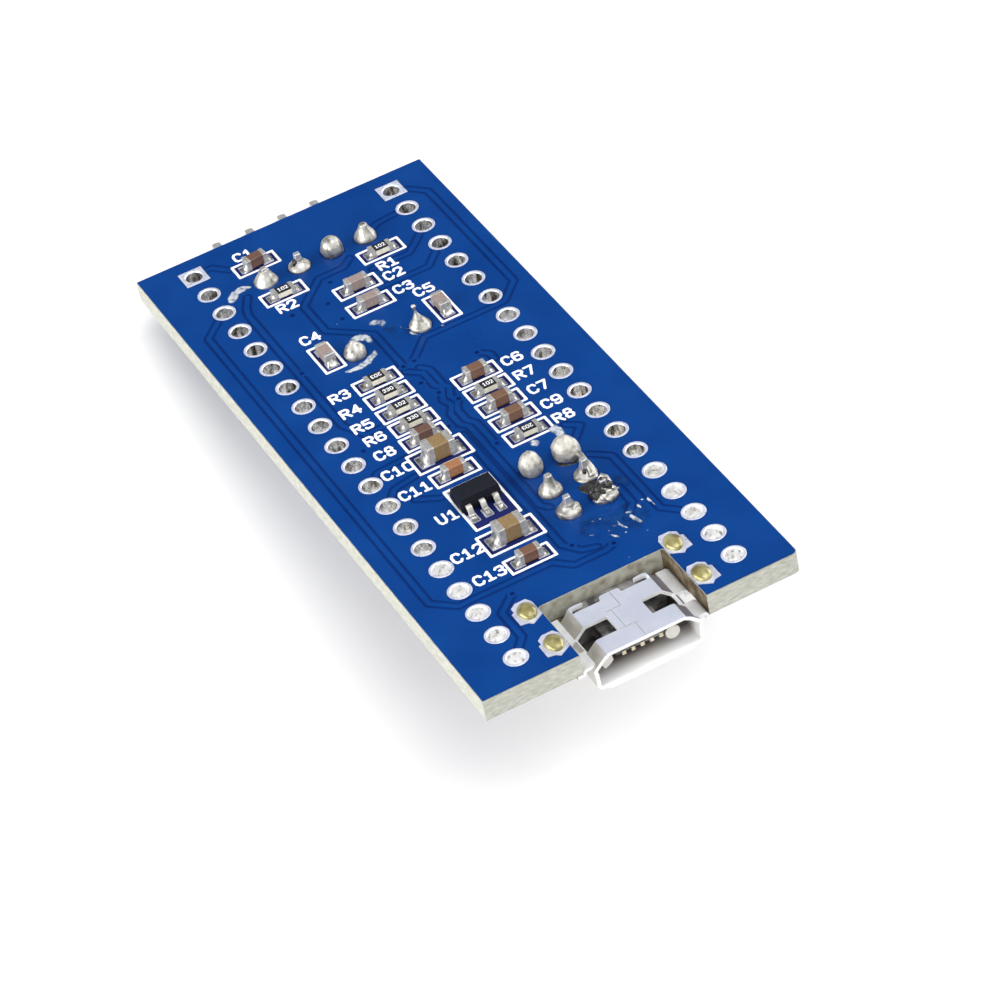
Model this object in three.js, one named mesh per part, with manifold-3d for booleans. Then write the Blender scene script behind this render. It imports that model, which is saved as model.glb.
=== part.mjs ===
// A microcontroller development board, seen with its solder side up.
// Millimetres. The origin is the centre of the 2 x 20 header holes on the solder side,
// +Z points out of the solder side, +Y points away from the USB end.
// The component side faces -Z, and the board stands on what is fitted there.

import * as THREE from "three";
import { mergeVertices } from "three/addons/utils/BufferGeometryUtils.js";
import Module from "manifold-3d";

const wasm = await Module();
wasm.setup();

// ---------------------------------------------------------------- driving dimensions

const PITCH = 2.54; // header grid
const FIT = 0.03; // gap between pieces that are soldered or pressed together
const SQUARE_PIN = 0.64; // side of a header pin

const BOARD = {
  left: -11.1,
  right: 10.9,
  front: -26.4,
  back: 26.25,
  thickness: 1.6,
  cornerRadius: 0.35,
};
const FRONT_FACE = -BOARD.thickness; // the component side

const HEADER_ROW = { halfSpacing: 7.62, count: 20, drill: 1.06 };
const PIN_DRILL = 1.06;
const HOLE_SIDES = 12;

const NOTCH = { halfWidth: 4.4, depth: 5.5 };
const LEG_SLOT = { x: 5.15, rearY: -20.9, frontY: -24.5, width: 0.7, length: 1.5 };

const USB = {
  frontY: -26.8,
  rearY: -21.5,
  topZ: -0.65,
  bottomZ: -3.2,
  shoulderZ: -1.85,
  halfWidth: 3.75,
  topHalfWidth: 2.73,
  wall: 0.28,
  window: { inner: 1.2, outer: 3.4, frontY: -25.1, rearY: -23.55, floorZ: -1.4 },
  tongue: { halfWidth: 1.85, topZ: -1.45, bottomZ: -2.05, frontY: -25.65 },
  contactPitch: 0.65,
  contactWidth: 0.3,
};

const DEBUG_HEADER = { y: 20.4, pins: 4, blockNearY: 21.9, reach: 6.05, tail: 1.15 };
const BOOT_HEADER = { x: 2.65, y: -11.64, columns: 2, rows: 3 };
const TAIL_ABOVE_BOARD = 1.35; // boot pins and crystal leads beyond the solder side
const BLOCK_HEIGHT = 2.54;
const BOOT_PIN_REACH = 5.45; // pin beyond its plastic block

const JUMPER = { width: 2.44, length: 5.0, height: 6.0, lid: 0.4, wall: 0.5 };
const CLIP = { wall: 0.18, clearance: 0.05, height: 4.2 };

const CHIP = { side: 7.0, span: 9.0, height: 1.4, leadsPerSide: 12, leadPitch: 0.5, y: -0.5 };
const REGULATOR = { x: -2.78, y: -9.45, length: 2.9, width: 1.6, height: 1.1, span: 2.8 };

const CRYSTAL = { y: 9.1, leadX: 2.44, leadDiameter: 0.45, length: 11.05, width: 4.65, height: 3.5 };
const CLOCK_CRYSTAL = { x: -2.8, y: 15.0, length: 8.0, width: 3.8, height: 2.4 };

const RESET = { x: -3.4, y: -11.6, side: 4.5, height: 1.5, bore: 2.9, stem: 1.9 };
const LEDS = { power_led: [4.6, 15.2], user_led: [4.6, 17.6] };

// Chip parts on the solder side: centre x and y; the long side lies along x unless upright.
const RESISTOR_SIZE = [1.6, 0.8, 0.45];
const RESISTORS = [
  [3.97, 18.3],
  [-3.44, 18.33],
  [-2.54, 5.6],
  [-2.56, 3.76],
  [-2.58, 1.9],
  [-2.54, 0.12],
  [3.0, 0.15],
  [3.0, -5.5],
];
const SMALL_CAPACITOR = [1.6, 0.8, 0.8];
const LARGE_CAPACITOR = [2.0, 1.25, 1.2];
const CAPACITORS = [
  { at: [-3.57, 22.6] },
  { at: [0.9, 15.7] },
  { at: [0.78, 13.37] },
  { at: [-4.16, 10.0], upright: true },
  { at: [4.5, 9.97], upright: true },
  { at: [2.98, 1.92] },
  { at: [2.93, -1.72] },
  { at: [-2.64, -1.67] },
  { at: [2.96, -3.6] },
  { at: [-2.61, -3.84], size: LARGE_CAPACITOR },
  { at: [-2.69, -6.13] },
  { at: [-2.62, -13.84], size: LARGE_CAPACITOR },
  { at: [-2.69, -16.55] },
];

// Flat lands kept as faces of their own, clear of every fitted part: [x0, y0, x1, y1].
const LANDS = [
  [-1.5, -1.0, 2.0, 3.0], // the board's centre
  [-2.0, 17.3, 2.2, 19.3], // between the crystals and the debug header
  [-8.07, -0.7, -7.07, 0.2], // between two holes of the left row
  [7.17, -0.7, 8.17, 0.2], // between two holes of the right row
];

// ---------------------------------------------------------------- finishes

const finish = (color, roughness, metalness) => ({ color, roughness, metalness });
const SOLDER_MASK = finish(0x0a4a94, 0.35, 0.0);
const TINNED = finish(0xc9c7c0, 0.3, 1.0);
const BRIGHT_STEEL = finish(0xd5d7dc, 0.22, 1.0);
const GOLD = finish(0xd8b25a, 0.25, 1.0);
const BLACK_PLASTIC = finish(0x16171a, 0.5, 0.0);
const BLACK_EPOXY = finish(0x1c1c1f, 0.6, 0.0);
const YELLOW_PLASTIC = finish(0xe8c21c, 0.45, 0.0);
const RESISTOR_BLACK = finish(0x1b1a1c, 0.4, 0.0);
const CERAMIC_BROWN = finish(0x80502f, 0.5, 0.0);
const RED_LENS = finish(0xd8584a, 0.25, 0.0);
const GREEN_LENS = finish(0x8fc98a, 0.25, 0.0);

// ---------------------------------------------------------------- shape helpers

const board = new THREE.Group();

function place(name, geometry, look) {
  const mesh = new THREE.Mesh(geometry, new THREE.MeshStandardMaterial(look));
  mesh.name = name;
  board.add(mesh);
  return mesh;
}

// A box between two opposite corners.
function block([x0, y0, z0], [x1, y1, z1]) {
  const geometry = new THREE.BoxGeometry(x1 - x0, y1 - y0, z1 - z0);
  geometry.translate((x0 + x1) / 2, (y0 + y1) / 2, (z0 + z1) / 2);
  return geometry;
}

// A box centred on x and y that stands between two heights.
function post(x, y, width, length, z0, z1) {
  return block([x - width / 2, y - length / 2, z0], [x + width / 2, y + length / 2, z1]);
}

// A closed outline in the XY plane, raised from z0 to z1.
function plate(outline, z0, z1) {
  const geometry = new THREE.ExtrudeGeometry(outline, { depth: z1 - z0, bevelEnabled: false });
  geometry.translate(0, 0, z0);
  return geometry;
}

// A closed outline of (y, z) points, spread to both sides of the plane x.
function sideProfile(points, x, width) {
  const outline = new THREE.Shape(points.map(([y, z]) => new THREE.Vector2(y, z)));
  const geometry = new THREE.ExtrudeGeometry(outline, { depth: width, bevelEnabled: false });
  geometry.rotateY(Math.PI / 2);
  geometry.rotateX(Math.PI / 2);
  geometry.translate(x - width / 2, 0, 0);
  return geometry;
}

// A closed outline of (x, z) points, running along y from y0 to y1.
function frontProfile(points, y0, y1) {
  const outline = new THREE.Shape(points.map(([x, z]) => new THREE.Vector2(x, z)));
  const geometry = new THREE.ExtrudeGeometry(outline, { depth: y1 - y0, bevelEnabled: false });
  geometry.rotateX(Math.PI / 2);
  geometry.translate(0, y1, 0);
  return geometry;
}

function regularOutline(x, y, radius, sides, Kind = THREE.Path) {
  const outline = new Kind();
  for (let i = 0; i < sides; i++) {
    const turn = ((i + 0.5) * 2 * Math.PI) / sides;
    const px = x + radius * Math.cos(turn);
    const py = y + radius * Math.sin(turn);
    if (i === 0) outline.moveTo(px, py);
    else outline.lineTo(px, py);
  }
  outline.closePath();
  return outline;
}

// A rectangle with its four corners cut off.
function cutCornerOutline(x, y, width, length, cut, Kind = THREE.Path) {
  const a = width / 2;
  const b = length / 2;
  const corners = [
    [-a + cut, -b],
    [a - cut, -b],
    [a, -b + cut],
    [a, b - cut],
    [a - cut, b],
    [-a + cut, b],
    [-a, b - cut],
    [-a, -b + cut],
  ];
  return new Kind(corners.map(([px, py]) => new THREE.Vector2(x + px, y + py)));
}

function solidOf(geometry) {
  const bare = geometry.clone();
  bare.deleteAttribute("normal");
  bare.deleteAttribute("uv");
  const merged = mergeVertices(bare, 1e-4);
  return new wasm.Manifold(
    new wasm.Mesh({
      numProp: 3,
      vertProperties: merged.attributes.position.array,
      triVerts: new Uint32Array(merged.index.array),
    }),
  );
}

function geometryOf(solid) {
  const mesh = solid.getMesh();
  const geometry = new THREE.BufferGeometry();
  geometry.setAttribute("position", new THREE.BufferAttribute(mesh.vertProperties, 3));
  geometry.setIndex(new THREE.BufferAttribute(mesh.triVerts, 1));
  geometry.computeVertexNormals();
  return geometry;
}

function joined(geometries) {
  return geometryOf(geometries.map(solidOf).reduce((whole, piece) => whole.add(piece)));
}

function cut(geometry, holes) {
  return geometryOf(holes.map(solidOf).reduce((left, hole) => left.subtract(hole), solidOf(geometry)));
}

// Evenly spaced offsets about zero.
function row(count, pitch) {
  return Array.from({ length: count }, (_, i) => (i - (count - 1) / 2) * pitch);
}

// ---------------------------------------------------------------- circuit board

function boardOutline() {
  const { left, right, front, back, cornerRadius: r } = BOARD;
  const notchBack = front + NOTCH.depth;
  const outline = new THREE.Shape();
  outline.moveTo(left, front);
  outline.lineTo(-NOTCH.halfWidth, front);
  outline.lineTo(-NOTCH.halfWidth, notchBack);
  outline.lineTo(NOTCH.halfWidth, notchBack);
  outline.lineTo(NOTCH.halfWidth, front);
  outline.lineTo(right - r, front);
  outline.absarc(right - r, front + r, r, -Math.PI / 2, 0, false);
  outline.lineTo(right, back);
  outline.lineTo(left, back);
  outline.closePath();
  return outline;
}

function drilledHoles() {
  const holes = [];
  const drill = (x, y, diameter) => holes.push(regularOutline(x, y, diameter / 2, HOLE_SIDES));
  for (const side of [-1, 1]) {
    for (const y of row(HEADER_ROW.count, PITCH)) drill(side * HEADER_ROW.halfSpacing, y, HEADER_ROW.drill);
    drill(side * CRYSTAL.leadX, CRYSTAL.y, 0.8);
    for (const y of [LEG_SLOT.rearY, LEG_SLOT.frontY]) {
      holes.push(cutCornerOutline(side * LEG_SLOT.x, y, LEG_SLOT.width, LEG_SLOT.length, 0.15));
    }
  }
  for (const [x, y] of bootPinCentres()) drill(x, y, PIN_DRILL);
  for (const x of row(DEBUG_HEADER.pins, PITCH)) drill(x, DEBUG_HEADER.y, PIN_DRILL);
  return holes;
}

// The flat faces and walls of a plate, where each land is triangulated by itself.
function plateWithLands(outline, holes, lands, z0, z1) {
  const rim = outline.getPoints(3);
  const openings = holes.map((hole) => hole.getPoints(1));
  const walls = [rim, ...openings];
  const loops = walls.map((loop) => {
    const closed = loop[0].distanceTo(loop[loop.length - 1]) < 1e-6;
    return closed ? loop.slice(0, -1) : loop;
  });
  const landLoops = lands.map(([x0, y0, x1, y1]) =>
    [[x0, y0], [x1, y0], [x1, y1], [x0, y1]].map(([x, y]) => new THREE.Vector2(x, y)),
  );
  if (THREE.ShapeUtils.isClockWise(loops[0])) loops[0].reverse();
  for (const loop of loops.slice(1)) if (!THREE.ShapeUtils.isClockWise(loop)) loop.reverse();

  const positions = [];
  const corner = (p, z) => positions.push(p.x, p.y, z);
  const faces = (contour, inner) => {
    const points = [contour, ...inner].flat();
    for (const [a, b, c] of THREE.ShapeUtils.triangulateShape(contour, inner)) {
      [a, b, c].forEach((k) => corner(points[k], z1));
      [c, b, a].forEach((k) => corner(points[k], z0));
    }
  };
  faces(loops[0], [...loops.slice(1), ...landLoops.map((loop) => [...loop].reverse())]);
  landLoops.forEach((loop) => faces(loop, []));
  for (const loop of loops) {
    loop.forEach((p, i) => {
      const q = loop[(i + 1) % loop.length];
      [[p, z0], [q, z0], [q, z1], [p, z0], [q, z1], [p, z1]].forEach(([at, z]) => corner(at, z));
    });
  }
  const geometry = new THREE.BufferGeometry();
  geometry.setAttribute("position", new THREE.Float32BufferAttribute(positions, 3));
  geometry.computeVertexNormals();
  return geometry;
}

function circuitBoard() {
  const geometry = plateWithLands(boardOutline(), drilledHoles(), LANDS, FRONT_FACE, 0);
  place("pcb", geometry, SOLDER_MASK);
}

// ---------------------------------------------------------------- chip parts, solder side

function chipParts() {
  RESISTORS.forEach(([x, y], i) => {
    const [length, width, height] = RESISTOR_SIZE;
    place(`resistor_${i + 1}`, post(x, y, length, width, FIT, FIT + height), RESISTOR_BLACK);
  });
  CAPACITORS.forEach(({ at: [x, y], size = SMALL_CAPACITOR, upright = false }, i) => {
    const [length, width, height] = size;
    const body = post(0, 0, length, width, FIT, FIT + height);
    if (upright) body.rotateZ(Math.PI / 2);
    body.translate(x, y, 0);
    place(`capacitor_${i + 1}`, body, CERAMIC_BROWN);
  });
}

// A gull-wing lead in the YZ plane: shoulder in the body, foot at the far end on z = 0.
function gullWing({ shoulderY, footY, shoulderZ, metal, width }, x) {
  const bendY = (shoulderY + footY) / 2;
  return sideProfile(
    [
      [shoulderY - 0.15, shoulderZ],
      [bendY - metal, shoulderZ],
      [bendY, 0],
      [footY, 0],
      [footY, metal],
      [bendY + metal, metal],
      [bendY, shoulderZ + metal],
      [shoulderY - 0.15, shoulderZ + metal],
    ],
    x,
    width,
  );
}

function voltageRegulator() {
  const { x, y, length, width, height, span } = REGULATOR;
  const lead = {
    shoulderY: width / 2,
    footY: span / 2,
    shoulderZ: height / 2,
    metal: 0.15,
    width: 0.4,
  };
  const pieces = [post(0, 0, length, width, 0.08, 0.08 + height)];
  for (const offset of [-0.95, 0.95]) pieces.push(gullWing(lead, offset));
  for (const offset of [-0.95, 0, 0.95]) {
    const opposite = gullWing(lead, offset);
    opposite.rotateZ(Math.PI);
    pieces.push(opposite);
  }
  place("voltage_regulator", joined(pieces), BLACK_EPOXY).position.set(x, y, FIT);
}

// ---------------------------------------------------------------- component side

function controllerChip() {
  const { side, span, height, leadsPerSide, leadPitch, y } = CHIP;
  const lead = {
    shoulderY: side / 2,
    footY: span / 2,
    shoulderZ: 0.65,
    metal: 0.15,
    width: 0.22,
  };
  const body = plate(cutCornerOutline(0, 0, side, side, 0.35, THREE.Shape), 0.1, 0.1 + height);
  const pieces = [body];
  for (let quarter = 0; quarter < 4; quarter++) {
    for (const offset of row(leadsPerSide, leadPitch)) {
      const wing = gullWing(lead, offset);
      wing.rotateZ((quarter * Math.PI) / 2);
      pieces.push(wing);
    }
  }
  const chip = place("controller_chip", joined(pieces), BLACK_EPOXY);
  chip.position.set(0, y, FRONT_FACE - 0.05);
  chip.rotation.set(Math.PI, 0, Math.PI / 4);
}

// An oval with straight long sides.
function oval(length, width) {
  const r = width / 2;
  const straight = length / 2 - r;
  const outline = new THREE.Shape();
  outline.absarc(straight, 0, r, -Math.PI / 2, Math.PI / 2, false);
  outline.absarc(-straight, 0, r, Math.PI / 2, (3 * Math.PI) / 2, false);
  outline.closePath();
  return outline;
}

function extrudedOval(length, width, z0, z1) {
  const geometry = new THREE.ExtrudeGeometry(oval(length, width), {
    depth: z1 - z0,
    bevelEnabled: false,
    curveSegments: 8,
  });
  geometry.translate(0, 0, z0);
  return geometry;
}

function mainCrystal() {
  const { y, leadX, leadDiameter, length, width, height } = CRYSTAL;
  const seat = FRONT_FACE - 0.1;
  const can = joined([
    extrudedOval(length, width, seat - 0.5, seat),
    extrudedOval(length - 0.8, width - 0.8, seat - height, seat - 0.4),
  ]);
  place("crystal_can", can, BRIGHT_STEEL).position.y = y;
  for (const [side, name] of [[-1, "left"], [1, "right"]]) {
    const lead = new THREE.CylinderGeometry(leadDiameter / 2, leadDiameter / 2, 3.0, 8);
    lead.rotateX(Math.PI / 2);
    const top = TAIL_ABOVE_BOARD;
    lead.translate(side * leadX, y, top - 1.5);
    place(`crystal_lead_${name}`, lead, TINNED);
  }
}

function clockCrystal() {
  const { x, y, length, width, height } = CLOCK_CRYSTAL;
  const outline = cutCornerOutline(x, y, length, width, 0.3, THREE.Shape);
  place("clock_crystal", plate(outline, FRONT_FACE - FIT - height, FRONT_FACE - FIT), BLACK_EPOXY);
}

function indicatorLeds() {
  const looks = { power_led: RED_LENS, user_led: GREEN_LENS };
  for (const [name, [x, y]] of Object.entries(LEDS)) {
    const base = post(x, y, 1.6, 0.8, FRONT_FACE - FIT - 0.3, FRONT_FACE - FIT);
    const lens = post(x, y, 1.1, 0.7, FRONT_FACE - FIT - 0.65, FRONT_FACE - FIT - 0.25);
    place(name, joined([base, lens]), looks[name]);
  }
}

// ---------------------------------------------------------------- pin headers

function bootPinCentres() {
  const centres = [];
  for (const dx of row(BOOT_HEADER.columns, PITCH)) {
    for (const dy of row(BOOT_HEADER.rows, -PITCH)) centres.push([BOOT_HEADER.x + dx, BOOT_HEADER.y + dy]);
  }
  return centres;
}

// The square hole that a pin is pressed into.
function pinSocket(x, y, z0, z1) {
  return post(x, y, SQUARE_PIN + 2 * FIT, SQUARE_PIN + 2 * FIT, z0, z1);
}

function bootHeader() {
  const top = FRONT_FACE - FIT;
  const bottom = FRONT_FACE - BLOCK_HEIGHT;
  const blocks = bootPinCentres().map(([x, y]) =>
    plate(cutCornerOutline(x, y, PITCH + 0.002, PITCH + 0.002, 0.4, THREE.Shape), bottom, top),
  );
  const sockets = bootPinCentres().map(([x, y]) => pinSocket(x, y, bottom - 1, top + 1));
  place("boot_header_block", cut(joined(blocks), sockets), BLACK_PLASTIC);
  bootPinCentres().forEach(([x, y], i) => {
    const pin = post(x, y, SQUARE_PIN, SQUARE_PIN, bottom - BOOT_PIN_REACH, TAIL_ABOVE_BOARD);
    place(`boot_pin_${i + 1}`, pin, TINNED);
  });
}

function debugHeader() {
  const { y, pins, blockNearY, reach, tail } = DEBUG_HEADER;
  const half = SQUARE_PIN / 2;
  const axisZ = FRONT_FACE - BLOCK_HEIGHT / 2;
  const blockFarY = blockNearY + BLOCK_HEIGHT;
  const top = FRONT_FACE - FIT;
  const bottom = FRONT_FACE - BLOCK_HEIGHT;
  const along = row(pins, PITCH);
  const outline = (x) => [
    [x - PITCH / 2 - 0.001, axisZ - 0.87],
    [x - PITCH / 2 + 0.4, bottom],
    [x + PITCH / 2 - 0.4, bottom],
    [x + PITCH / 2 + 0.001, axisZ - 0.87],
    [x + PITCH / 2 + 0.001, top - 0.37],
    [x + PITCH / 2 - 0.4, top],
    [x - PITCH / 2 + 0.4, top],
    [x - PITCH / 2 - 0.001, top - 0.37],
  ];
  const socketHalf = half + FIT;
  const sockets = along.map((x) =>
    block(
      [x - socketHalf, blockNearY - 1, axisZ - socketHalf],
      [x + socketHalf, blockFarY + 1, axisZ + socketHalf],
    ),
  );
  const blocks = along.map((x) => frontProfile(outline(x), blockNearY, blockFarY));
  place("debug_header_block", cut(joined(blocks), sockets), BLACK_PLASTIC);
  along.forEach((x, i) => {
    const bent = sideProfile(
      [
        [y - half, tail],
        [y - half, axisZ - half + 0.25],
        [y - half + 0.25, axisZ - half],
        [blockFarY + reach, axisZ - half],
        [blockFarY + reach, axisZ + half],
        [y + half, axisZ + half],
        [y + half, tail],
      ],
      x,
      SQUARE_PIN,
    );
    place(`debug_pin_${i + 1}`, bent, TINNED);
  });
}

// A jumper cap joins the two far pins of each column.
function jumpers() {
  const { width, length, height, lid, wall } = JUMPER;
  const mouth = FRONT_FACE - BLOCK_HEIGHT - FIT;
  const end = mouth - height;
  const y = BOOT_HEADER.y + PITCH / 2;
  row(BOOT_HEADER.columns, PITCH).forEach((dx, i) => {
    const x = BOOT_HEADER.x + dx;
    const shell = plate(cutCornerOutline(x, y, width, length, 0.3, THREE.Shape), end, mouth);
    const hollow = post(x, y, width - 2 * wall, length - 2 * wall, end + lid, mouth + 1);
    place(`jumper_cap_${i + 1}`, cut(shell, [hollow]), YELLOW_PLASTIC);

    const innerWidth = SQUARE_PIN + 2 * CLIP.clearance;
    const innerLength = PITCH + innerWidth;
    const clipTop = mouth - 0.6;
    const clipEnd = clipTop - CLIP.height;
    const sleeve = post(x, y, innerWidth + 2 * CLIP.wall, innerLength + 2 * CLIP.wall, clipEnd, clipTop);
    const bore = post(x, y, innerWidth, innerLength, clipEnd - 1, clipTop + 1);
    place(`jumper_clip_${i + 1}`, cut(sleeve, [bore]), GOLD);
  });
}

// ---------------------------------------------------------------- reset switch

function disc(x, y, diameter, z0, z1, sides) {
  return plate(regularOutline(x, y, diameter / 2, sides, THREE.Shape), z0, z1);
}

function resetSwitch() {
  const { x, y, side, height, bore, stem } = RESET;
  const seat = FRONT_FACE - FIT;
  const base = seat - height;
  const coverFace = base - FIT - 0.2;
  const sides = 20;

  const well = disc(x, y, bore, base - 1, seat - 0.5, sides);
  place("reset_switch_base", cut(post(x, y, side - 0.5, side, base, seat), [well]), BLACK_PLASTIC);

  const lid = post(x, y, side, side, coverFace, base - FIT);
  const flaps = [-1, 1].map((way) =>
    post(x + way * (side / 2 - 0.1), y, 0.2, side - 1.6, coverFace, base + 0.8),
  );
  const opening = disc(x, y, stem + 0.3, coverFace - 1, base + 1, sides);
  place("reset_switch_cover", cut(joined([lid, ...flaps]), [opening]), BRIGHT_STEEL);

  const flangeTop = base + 0.5;
  const flange = disc(x, y, bore - 0.3, base + 0.03, flangeTop, sides);
  const plunger = disc(x, y, stem, coverFace - 0.75, base + 0.1, sides);
  place("reset_button", joined([flange, plunger]), BLACK_PLASTIC);

  const corners = [[-1, -1], [1, -1], [1, 1], [-1, 1]];
  corners.forEach(([sx, sy], i) => {
    const inner = side / 2 - 0.22;
    const foot = post(x + sx * (inner + 0.5), y + sy * (side / 2 - 0.4), 0.96, 0.7, seat - 0.18, seat - 0.03);
    place(`reset_terminal_${i + 1}`, foot, TINNED);
  });
}

// ---------------------------------------------------------------- USB receptacle

function usbSection(inset) {
  const { topZ, bottomZ, shoulderZ, halfWidth, topHalfWidth } = USB;
  const slope = inset * 0.45;
  return [
    [-halfWidth + inset, bottomZ + inset],
    [halfWidth - inset, bottomZ + inset],
    [halfWidth - inset, shoulderZ - slope],
    [topHalfWidth - slope, topZ - inset],
    [-topHalfWidth + slope, topZ - inset],
    [-halfWidth + inset, shoulderZ - slope],
  ];
}

// A mounting ear leaves the shell, lies on the component side and turns up through its slot.
function usbEar(side, ear, land, slotY) {
  const under = FRONT_FACE - FIT - 0.25;
  const over = FRONT_FACE - FIT;
  const across = (x0, x1) => (side > 0 ? [x0, x1] : [-x1, -x0]);
  const [ex0, ex1] = across(USB.halfWidth - 0.15, 4.7);
  const [lx0, lx1] = across(4.6, 5.3);
  const [gx0, gx1] = across(5.0, 5.3);
  return [
    block([ex0, ear[0], under], [ex1, ear[1], over]),
    block([lx0, land[0], under], [lx1, land[1], over]),
    block([gx0, slotY - 0.5, under], [gx1, slotY + 0.5, 0.2]),
  ];
}

function usbShell() {
  const tube = cut(frontProfile(usbSection(0), USB.frontY, USB.rearY), [
    frontProfile(usbSection(USB.wall), USB.frontY - 1, USB.rearY + 1),
  ]);
  const pieces = [tube];
  for (const side of [-1, 1]) {
    pieces.push(...usbEar(side, [-26.3, -24.8], [-25.4, -23.9], LEG_SLOT.frontY));
    pieces.push(...usbEar(side, [-23.7, -21.6], [-22.4, -20.3], LEG_SLOT.rearY));
  }
  const { inner, outer, frontY, rearY, floorZ } = USB.window;
  const windows = [
    block([inner, frontY, floorZ], [outer, rearY, 1]),
    block([-outer, frontY, floorZ], [-inner, rearY, 1]),
  ];
  place("usb_shell", cut(joined(pieces), windows), BRIGHT_STEEL);
}

function usbContactCentres() {
  return row(5, USB.contactPitch);
}

function usbTongue() {
  const { halfWidth, topZ, bottomZ, frontY } = USB.tongue;
  const plugStop = USB.rearY - 1.1;
  const channelHalf = USB.contactWidth / 2 + FIT;
  const rearBlock = frontProfile(usbSection(USB.wall + FIT), plugStop, USB.rearY - FIT);
  const tongue = block([-halfWidth, frontY, bottomZ], [halfWidth, plugStop + 0.2, topZ]);
  const channels = usbContactCentres().map((x) =>
    block([x - channelHalf, plugStop - 0.1, bottomZ - 0.2], [x + channelHalf, USB.rearY + 1, bottomZ]),
  );
  place("usb_tongue", cut(joined([rearBlock, tongue]), channels), BLACK_PLASTIC);
}

function usbContacts() {
  const springTop = USB.tongue.bottomZ - FIT;
  const springBottom = springTop - 0.12;
  const tailTop = FRONT_FACE - FIT;
  const tailBottom = tailTop - 0.13;
  const bendY = USB.rearY + 0.06;
  const tailEnd = -19.7;
  const side = [
    [USB.tongue.frontY + 0.1, springBottom],
    [bendY + 0.13, springBottom],
    [bendY + 0.13, tailBottom],
    [tailEnd, tailBottom],
    [tailEnd, tailTop],
    [bendY, tailTop],
    [bendY, springTop],
    [USB.tongue.frontY + 0.1, springTop],
  ];
  usbContactCentres().forEach((x, i) => {
    place(`usb_contact_${i + 1}`, sideProfile(side, x, USB.contactWidth), GOLD);
  });
}

// ---------------------------------------------------------------- assembly

circuitBoard();
chipParts();
voltageRegulator();
controllerChip();
mainCrystal();
clockCrystal();
indicatorLeds();
bootHeader();
debugHeader();
jumpers();
resetSwitch();
usbShell();
usbTongue();
usbContacts();

export default board;
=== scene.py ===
"""The looks of a small microcontroller board lying with its solder side up.

Shapes are worked out in millimetres in the part's own frame and turned into metres when a mesh is made.
The origin is the centre of the 2 x 20 header holes on the solder side.
+Z points out of that side, and +Y away from the USB end.
"""

import math

import bmesh
import bpy
import numpy as np
from mathutils import Matrix, Vector, noise
from mathutils.geometry import delaunay_2d_cdt


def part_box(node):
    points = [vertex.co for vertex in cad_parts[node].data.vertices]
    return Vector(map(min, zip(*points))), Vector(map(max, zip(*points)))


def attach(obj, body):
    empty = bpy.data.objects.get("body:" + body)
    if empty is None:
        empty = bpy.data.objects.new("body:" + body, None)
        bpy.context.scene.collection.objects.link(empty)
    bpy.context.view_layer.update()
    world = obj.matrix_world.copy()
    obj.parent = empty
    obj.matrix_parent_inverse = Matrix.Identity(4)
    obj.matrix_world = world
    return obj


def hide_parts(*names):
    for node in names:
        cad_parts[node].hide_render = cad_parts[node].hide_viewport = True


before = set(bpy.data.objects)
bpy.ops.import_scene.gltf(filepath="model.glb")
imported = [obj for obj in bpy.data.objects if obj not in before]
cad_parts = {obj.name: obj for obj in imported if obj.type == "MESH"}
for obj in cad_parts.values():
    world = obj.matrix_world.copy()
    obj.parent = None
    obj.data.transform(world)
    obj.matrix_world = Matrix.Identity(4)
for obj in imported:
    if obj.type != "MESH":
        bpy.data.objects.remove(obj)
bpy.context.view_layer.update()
MM = 0.001


# ------------------------------------------------------------------ sizes taken from the frame

def box_mm(node):
    """A node's lowest and highest corner in millimetres."""
    low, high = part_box(node)
    return Vector(low) / MM, Vector(high) / MM


def middle(node):
    low, high = box_mm(node)
    return (low + high) / 2


BOARD_LOW, BOARD_HIGH = box_mm("pcb")
LEFT, RIGHT = BOARD_LOW.x, BOARD_HIGH.x
FRONT, BACK = BOARD_LOW.y, BOARD_HIGH.y
UNDER = BOARD_LOW.z  # height of the component side
PITCH = 2.54
ROW_X = 7.62
ROW_Y = [(9.5 - i) * PITCH for i in range(20)]
HOLE_R = 0.53
PAD_R = 0.81
SQUARE_PAD = 0.87  # half the side of the square lands at the ends of the rows
HOLE_MARGIN = 0.08  # how far the board's laminate stays back from a header hole's plating
PIN_HOLE_R = 0.45
PIN_CLEAR_R = 0.86  # the bare laminate round a pin's hole
VIA_R, VIA_DIP_R = 0.36, 0.17  # a via's copper and the dip in its middle
NOTCH_HALF = 4.4
NOTCH_BACK = FRONT + 5.5
LEG_SLOTS = [(side * 5.15, y) for side in (-1, 1) for y in (-20.9, -24.5)]
BOOT = [middle(f"boot_pin_{i}") for i in range(1, 7)]
DEBUG_Y = 20.4
DEBUG_X = [middle(f"debug_pin_{i}").x for i in range(1, 5)]
CRYSTAL = [middle("crystal_lead_left"), middle("crystal_lead_right")]

BOARD_EDGE = 0.04  # how far the mask stays back from the board's edge
COPPER_STEP = 0.028  # how far the mask drops where there is no copper below it
FRAME_STEP = COPPER_STEP + 0.002  # how far it drops inside the printed frames
VIA_DIP = 0.046
INK = 0.022  # how high the white printing stands
PAD_TOP, PAD_FOOT = 0.012, -0.05  # the heights of a tinned land's top and of its hidden foot


# ------------------------------------------------------------------ mesh making

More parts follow.
